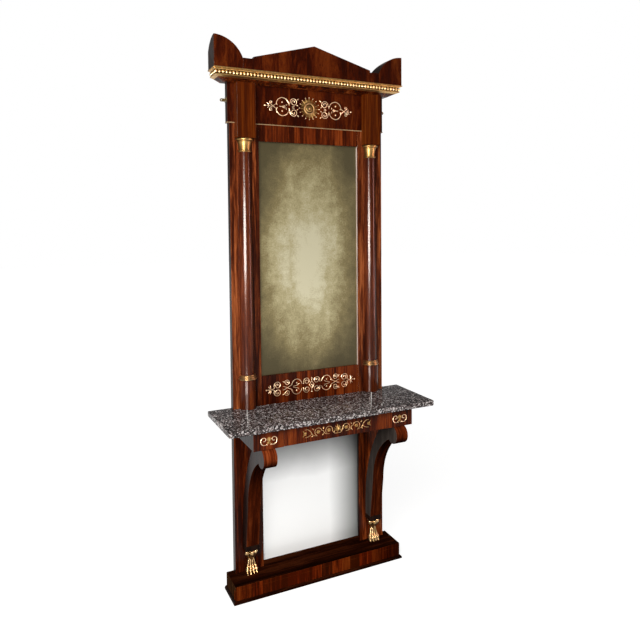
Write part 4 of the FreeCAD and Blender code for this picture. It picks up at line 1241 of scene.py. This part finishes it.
on_middle = [leaf(214, 0, 232, 0, 2.6), berry(236, 0, 3.8)]
diamond = [berry(0, 0, 4.0), through((0, 19, 1.5), (0, 30, 1.3)), through((0, -19, 1.5), (0, -30, 1.3)),
           berry(0, 33, 3.4), berry(0, -33, 3.4)]
strokes = left_and_right(above_and_below(quarter) + on_middle) + diamond
scrolls = cast("rail_scrolls", strokes, middle_of("lower_rail_mount"))
lay_mount("lower_rail_mount", (scrolls, (gilt_brass,)))

# %% [markdown]
# ### The apron mounts
#
# The middle mount rides on the drawer: a fan of leaves with a vine that waves out to each side, a
# rosette in each bend. On each end block a smaller fan stands between two scrolls. Leaves and blooms are
# older brass than the stems, so they are cast apart and joined.

# %% Cast the apron mounts
rod = 1.3
vine = [
    through((0, -20, rod), (16, -19, rod))[:-1] + arc(43, 0, 17, 215, -30, rod)[1:]
    + through((58, -8, rod), (54, -13, rod * 0.7))[1:],
    through((42, -17, rod * 0.7), (62, -13, rod), (72, 2, rod))[:-1] + arc(96, 0, 17, 165, -60, rod),
    through((100, -18, rod * 0.7), (122, -12, rod), (132, 4, rod), (146, 16, rod), (160, 17, rod * 0.8)),
    through((126, -4, rod * 0.7), (142, -14, rod), (158, -17, rod * 0.8)),
    leaf(20, -17, 14, -4, 1.9), leaf(68, -8, 76, -19, 1.9), leaf(73, 8, 66, 19, 1.9),
    leaf(122, -12, 128, -21, 1.9), leaf(118, 10, 126, 20, 1.9),
]
blooms = rosette(43, 0, 9.0) + rosette(96, 0, 9.0) + rosette(160, 0, 8.0)
blooms += [leaf(164, 4, 171, 14, 2.0), leaf(164, -4, 171, -14, 2.0)]
palmette = fan(0, -10, 31, 7, 140, 2.3) + [berry(0, -12, 3.2), berry(0, -19, 2.6)]
centre = middle_of("apron_centre_mount")
lay_mount("apron_centre_mount",
          (cast("vine_scrolls", left_and_right(vine), centre), (warm_brass,)),
          (cast("vine_blooms", left_and_right(blooms) + palmette, centre, 0.8), (old_brass,)))

rod = 1.15
end_scroll = [
    through((9, 13, rod * 0.8), (17, 18, rod), (30, 17, rod * 1.1), (39, 8, rod * 1.15), (40, -5, rod * 1.15),
            (33, -15, rod * 1.1), (22, -16, rod), (16, -9, rod), (19, -1, rod * 0.9), (27, 0, rod * 1.2)),
    leaf(13, 15, 7, 20, 1.8),
]
narrower, lower, drop = 0.9, 0.92, 3
end_scroll = [[(u * narrower, -v * lower - drop, r) for u, v, r in stroke] for stroke in end_scroll]
palmette = fan(0, -4, 20, 7, 120, 2.6)
palmette += [berry(0, -4, 3.2), leaf(0, -6, 0, -20, 2.8), leaf(-2, -6, -11, -17, 2.4),
             leaf(2, -6, 11, -17, 2.4)]
low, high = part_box("apron_end_mounts")
inner_end = 0.2865
parts = []
for side in (-1, 1):
    centre = (side * (high.x + inner_end) / 2, high.y, (low.z + high.z) / 2)
    parts += [(cast("end_scrolls", left_and_right(end_scroll), centre), (gilt_brass,)),
              (cast("end_palmette", palmette, centre, 0.8), (old_brass,))]
lay_mount("apron_end_mounts", *parts)

# %% [markdown]
# ## Lion's paws
#
# Each leg ends in a carved and gilded paw: four toes with claws, tendons that run up a slim ankle, and a
# cuff of leaves that curl out at the top. Carving is soft and rounded, so the paw is built up from
# stretched balls like clay, fused by a voxel remesh and smoothed. Its back is flat against the frame and
# its sole is flat on the plinth.

# %% Carve the paws
low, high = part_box("paw_feet")
paw_back, paw_sole, paw_top = high.y, low.z, high.z
clay_grain = 0.0012


def lump(clay, first, last, first_radius, last_radius, squash=1.0):
    """A row of balls from one place to another, close enough to fuse."""
    first, last = Vector(first), Vector(last)
    count = max(2, int((last - first).length / (min(first_radius, last_radius) * 0.5)) + 1)
    for i in range(count):
        share = i / (count - 1)
        radius = first_radius + (last_radius - first_radius) * share
        spot = Matrix.Translation(first.lerp(last, share)) @ Matrix.Diagonal((squash, 1.0, 1.0, 1.0))
        bmesh.ops.create_icosphere(clay, subdivisions=2, radius=radius, matrix=spot)


def paw_mesh(x):
    """One paw about an upright line at x; its places are in millimetres across, forward and up."""
    clay = bmesh.new()

    def at(across, forward, height):
        return (x + across / 1000, paw_back - forward / 1000, paw_sole + height / 1000)

    lump(clay, at(0, 11, 13), at(0, 11, 60), 0.0150, 0.0112, 1.3)
    lump(clay, at(0, 11, 60), at(0, 12, 100), 0.0112, 0.0150, 1.2)
    lump(clay, at(-9, 12, 24), at(-14, 12, 9), 0.0120, 0.0120)
    lump(clay, at(9, 12, 24), at(14, 12, 9), 0.0120, 0.0120)
    for toe in (-1.5, -0.5, 0.5, 1.5):
        across = toe * 15.0
        reach = 38.5 - 3.2 * abs(toe)
        lump(clay, at(across, reach, 7.5), at(across * 0.98, reach - 3, 18), 0.0064, 0.0073)
        lump(clay, at(across * 0.98, reach - 4, 20), at(across * 0.76, 25, 38), 0.0066, 0.0044)
        lump(clay, at(across * 0.76, 25, 38), at(across * 0.46, 22.5, 68), 0.0040, 0.0028)
        lump(clay, at(across, reach + 4, 7), at(across, reach + 7.5, 3), 0.0036, 0.0020)
    for leaf_at, forward in ((-20, 20), (0, 29), (20, 20)):
        lump(clay, at(leaf_at * 0.5, forward * 0.76, 64), at(leaf_at, forward + 6, 97), 0.0044, 0.0108)
        lump(clay, at(leaf_at, forward + 6, 97), at(leaf_at * 1.06, forward + 8, 103), 0.0108, 0.0098)
    for leaf_at in (-10.5, 10.5):
        lump(clay, at(leaf_at * 0.6, 21, 70), at(leaf_at, 31, 99), 0.0032, 0.0044)
    lump(clay, at(-16, 12, 109), at(16, 12, 109), 0.0115, 0.0115)
    carrier = bpy.data.objects.new("paw_clay", kept_mesh("paw_clay", clay))
    scene.collection.objects.link(carrier)
    fuse = carrier.modifiers.new("fuse", "REMESH")
    fuse.mode, fuse.voxel_size = "VOXEL", clay_grain
    smooth = carrier.modifiers.new("smooth", "SMOOTH")
    smooth.factor, smooth.iterations = 0.5, 3
    carved = applied(carrier)
    for vertex in carved.vertices:
        vertex.co.y = min(vertex.co.y, paw_back)
        vertex.co.z = max(paw_sole, min(vertex.co.z, paw_top))
    return carved


mesh = join_meshes("paw_feet_carved", *((paw_mesh(side * column_x), (paw_gilding,)) for side in (-1, 1)))
place_piece("paw_feet_carved", mesh, "paw_feet", paw_gilding, sharp=75.0)
print("paws:", len(mesh.polygons), "faces")

# %% [markdown]
# ## Screws
#
# Slotted screws hold the backboards and the wall eyes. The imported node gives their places: each loose
# island of its mesh is one screw, and its longest side says which way it was driven. A head with a slot
# sawn by a Boolean is set on each place with Geometry Nodes and turned to face outwards.

# %% Drive the screws
def islands(solid):
    """The corners of each loose island of a bmesh, as its low and high places."""
    left, boxes = set(solid.verts), []
    while left:
        island, edge = set(), [left.pop()]
        while edge:
            vertex = edge.pop()
            island.add(vertex)
            for link in vertex.link_edges:
                other = link.other_vert(vertex)
                if other in left:
                    left.remove(other)
                    edge.append(other)
        boxes.append([[pick(v.co[axis] for v in island) for axis in range(3)] for pick in (min, max)])
    return sorted(boxes)


def screw_places(node):
    """The middle of each screw's head and the way it faces."""
    solid = bmesh.new()
    solid.from_mesh(nodes[node].data)
    bmesh.ops.remove_doubles(solid, verts=solid.verts, dist=touching)
    found = []
    for low, high in islands(solid):
        middle = [(a + b) / 2 for a, b in zip(low, high)]
        if high[1] - low[1] > high[0] - low[0]:
            found.append(((middle[0], high[1], middle[2]), (0.0, 1.0, 0.0)))
        else:
            side = 1.0 if middle[0] > 0 else -1.0
            outermost = max(abs(low[0]), abs(high[0]))
            found.append(((side * outermost, middle[1], middle[2]), (side, 0.0, 0.0)))
    solid.free()
    return found


def shifted(tree, geometry, up):
    """A geometry moved along the screw."""
    return made(tree, "GeometryNodeTransform", {"Geometry": geometry, "Translation": (0, 0, up)})


head_thick, shank_long, let_in = 0.002, 0.022, 0.0005
neck_radius, tip_radius = 0.0017, 0.0006
slot_size = (0.009, 0.0009, 0.0018)
screw_sizes = {"Head": 0.0035, "Thick": head_thick, "Length": shank_long}
screw_tree, given, result = new_tree("slotted_screws", **screw_sizes)
head = made(screw_tree, "GeometryNodeMeshCylinder", {
    "Vertices": 20, "Radius": given["Head"], "Depth": given["Thick"]})
saw_cut = made(screw_tree, "GeometryNodeMeshCube", {"Size": slot_size})
slotted = made(screw_tree, "GeometryNodeMeshBoolean", {
    "Mesh 1": head, "Mesh 2": shifted(screw_tree, saw_cut, head_thick / 2)}, operation="DIFFERENCE")
shank = made(screw_tree, "GeometryNodeMeshCone", {
    "Vertices": 10, "Radius Top": neck_radius, "Radius Bottom": tip_radius, "Depth": given["Length"]})
screw = joined(screw_tree, shifted(screw_tree, slotted, -head_thick / 2),
               shifted(screw_tree, shank, -shank_long - let_in))
facing = made(screw_tree, "GeometryNodeInputNamedAttribute", {"Name": "facing"}, data_type="FLOAT_VECTOR")
turn = made(screw_tree, "FunctionNodeAlignRotationToVector", {"Vector": facing}, axis="Z")
driven = made(screw_tree, "GeometryNodeInstanceOnPoints", {
    "Points": given["Geometry"], "Instance": screw, "Rotation": turn})
close_tree(screw_tree, driven, screw_steel, result)

places = screw_places("wood_screws")
carrier = bpy.data.meshes.new("screw_places")
carrier.from_pydata([place for place, _ in places], [], [])
ways = carrier.attributes.new("facing", "FLOAT_VECTOR", "POINT")
ways.data.foreach_set("vector", [axis for _, way in places for axis in way])
mesh = grown("wood_screws_driven", carrier, screw_tree, **screw_sizes)
place_piece("wood_screws_driven", mesh, "wood_screws", screw_steel, sharp=30.0)
print("screws:", len(places))

# %% [markdown]
# ## Sheen without glare
#
# A photographer flags a lamp with black card so that it doesn't glare in the glass. Light linking does
# the same work here: the strip lamps reach the wood, the stone and the gilding, the column lamps reach
# only the columns, and both leave the mirror plates alone. The plate lamp reaches nothing but the lower
# plate. Nothing but the columns can shade the column lamps, so the edge of the stone doesn't cut off the
# line of light on the pedestals. A slim lamp in front of each pedestal reaches only the stone, and shows
# there as the reflection of that line.

# %% Choose what the lamps reach
groups = {name: bpy.data.collections.new(name)
          for name in ("polished_pieces", "column_pieces", "shaded_plate", "polished_stone")}
groups["shaded_plate"].objects.link(nodes["lower_mirror_plate"])
groups["polished_stone"].objects.link(bpy.data.objects["marble_top_dressed"])
for thing in scene.objects:
    if thing.type == "MESH" and thing is not floor and thing.name not in nodes:
        of_column = thing.name in ("column_shafts_turned", "column_pedestals_turned")
        groups["column_pieces" if of_column else "polished_pieces"].objects.link(thing)

line_turn, line_radius, line_wide, line_watts = math.radians(-23), 0.042, 0.003, 0.007
line_tall = shaft_foot - foot
line_lamps = []
for side in (-1, 1):
    spot = Vector((side * column_x + line_radius * math.sin(line_turn),
                   column_y - line_radius * math.cos(line_turn), foot + line_tall / 2))
    line_lamps.append(lamp("line_lamp", spot, spot - Vector((0, 1, 0)), (line_wide, line_tall), line_watts,
                           lights_matt=False))

reach = {"polished_pieces": strip_lamps, "column_pieces": column_lamps, "shaded_plate": [plate_lamp],
         "polished_stone": line_lamps}
for name, lamps in reach.items():
    for each in lamps:
        each.light_linking.receiver_collection = groups[name]
        each.light_linking.blocker_collection = groups[name] if name == "column_pieces" else None
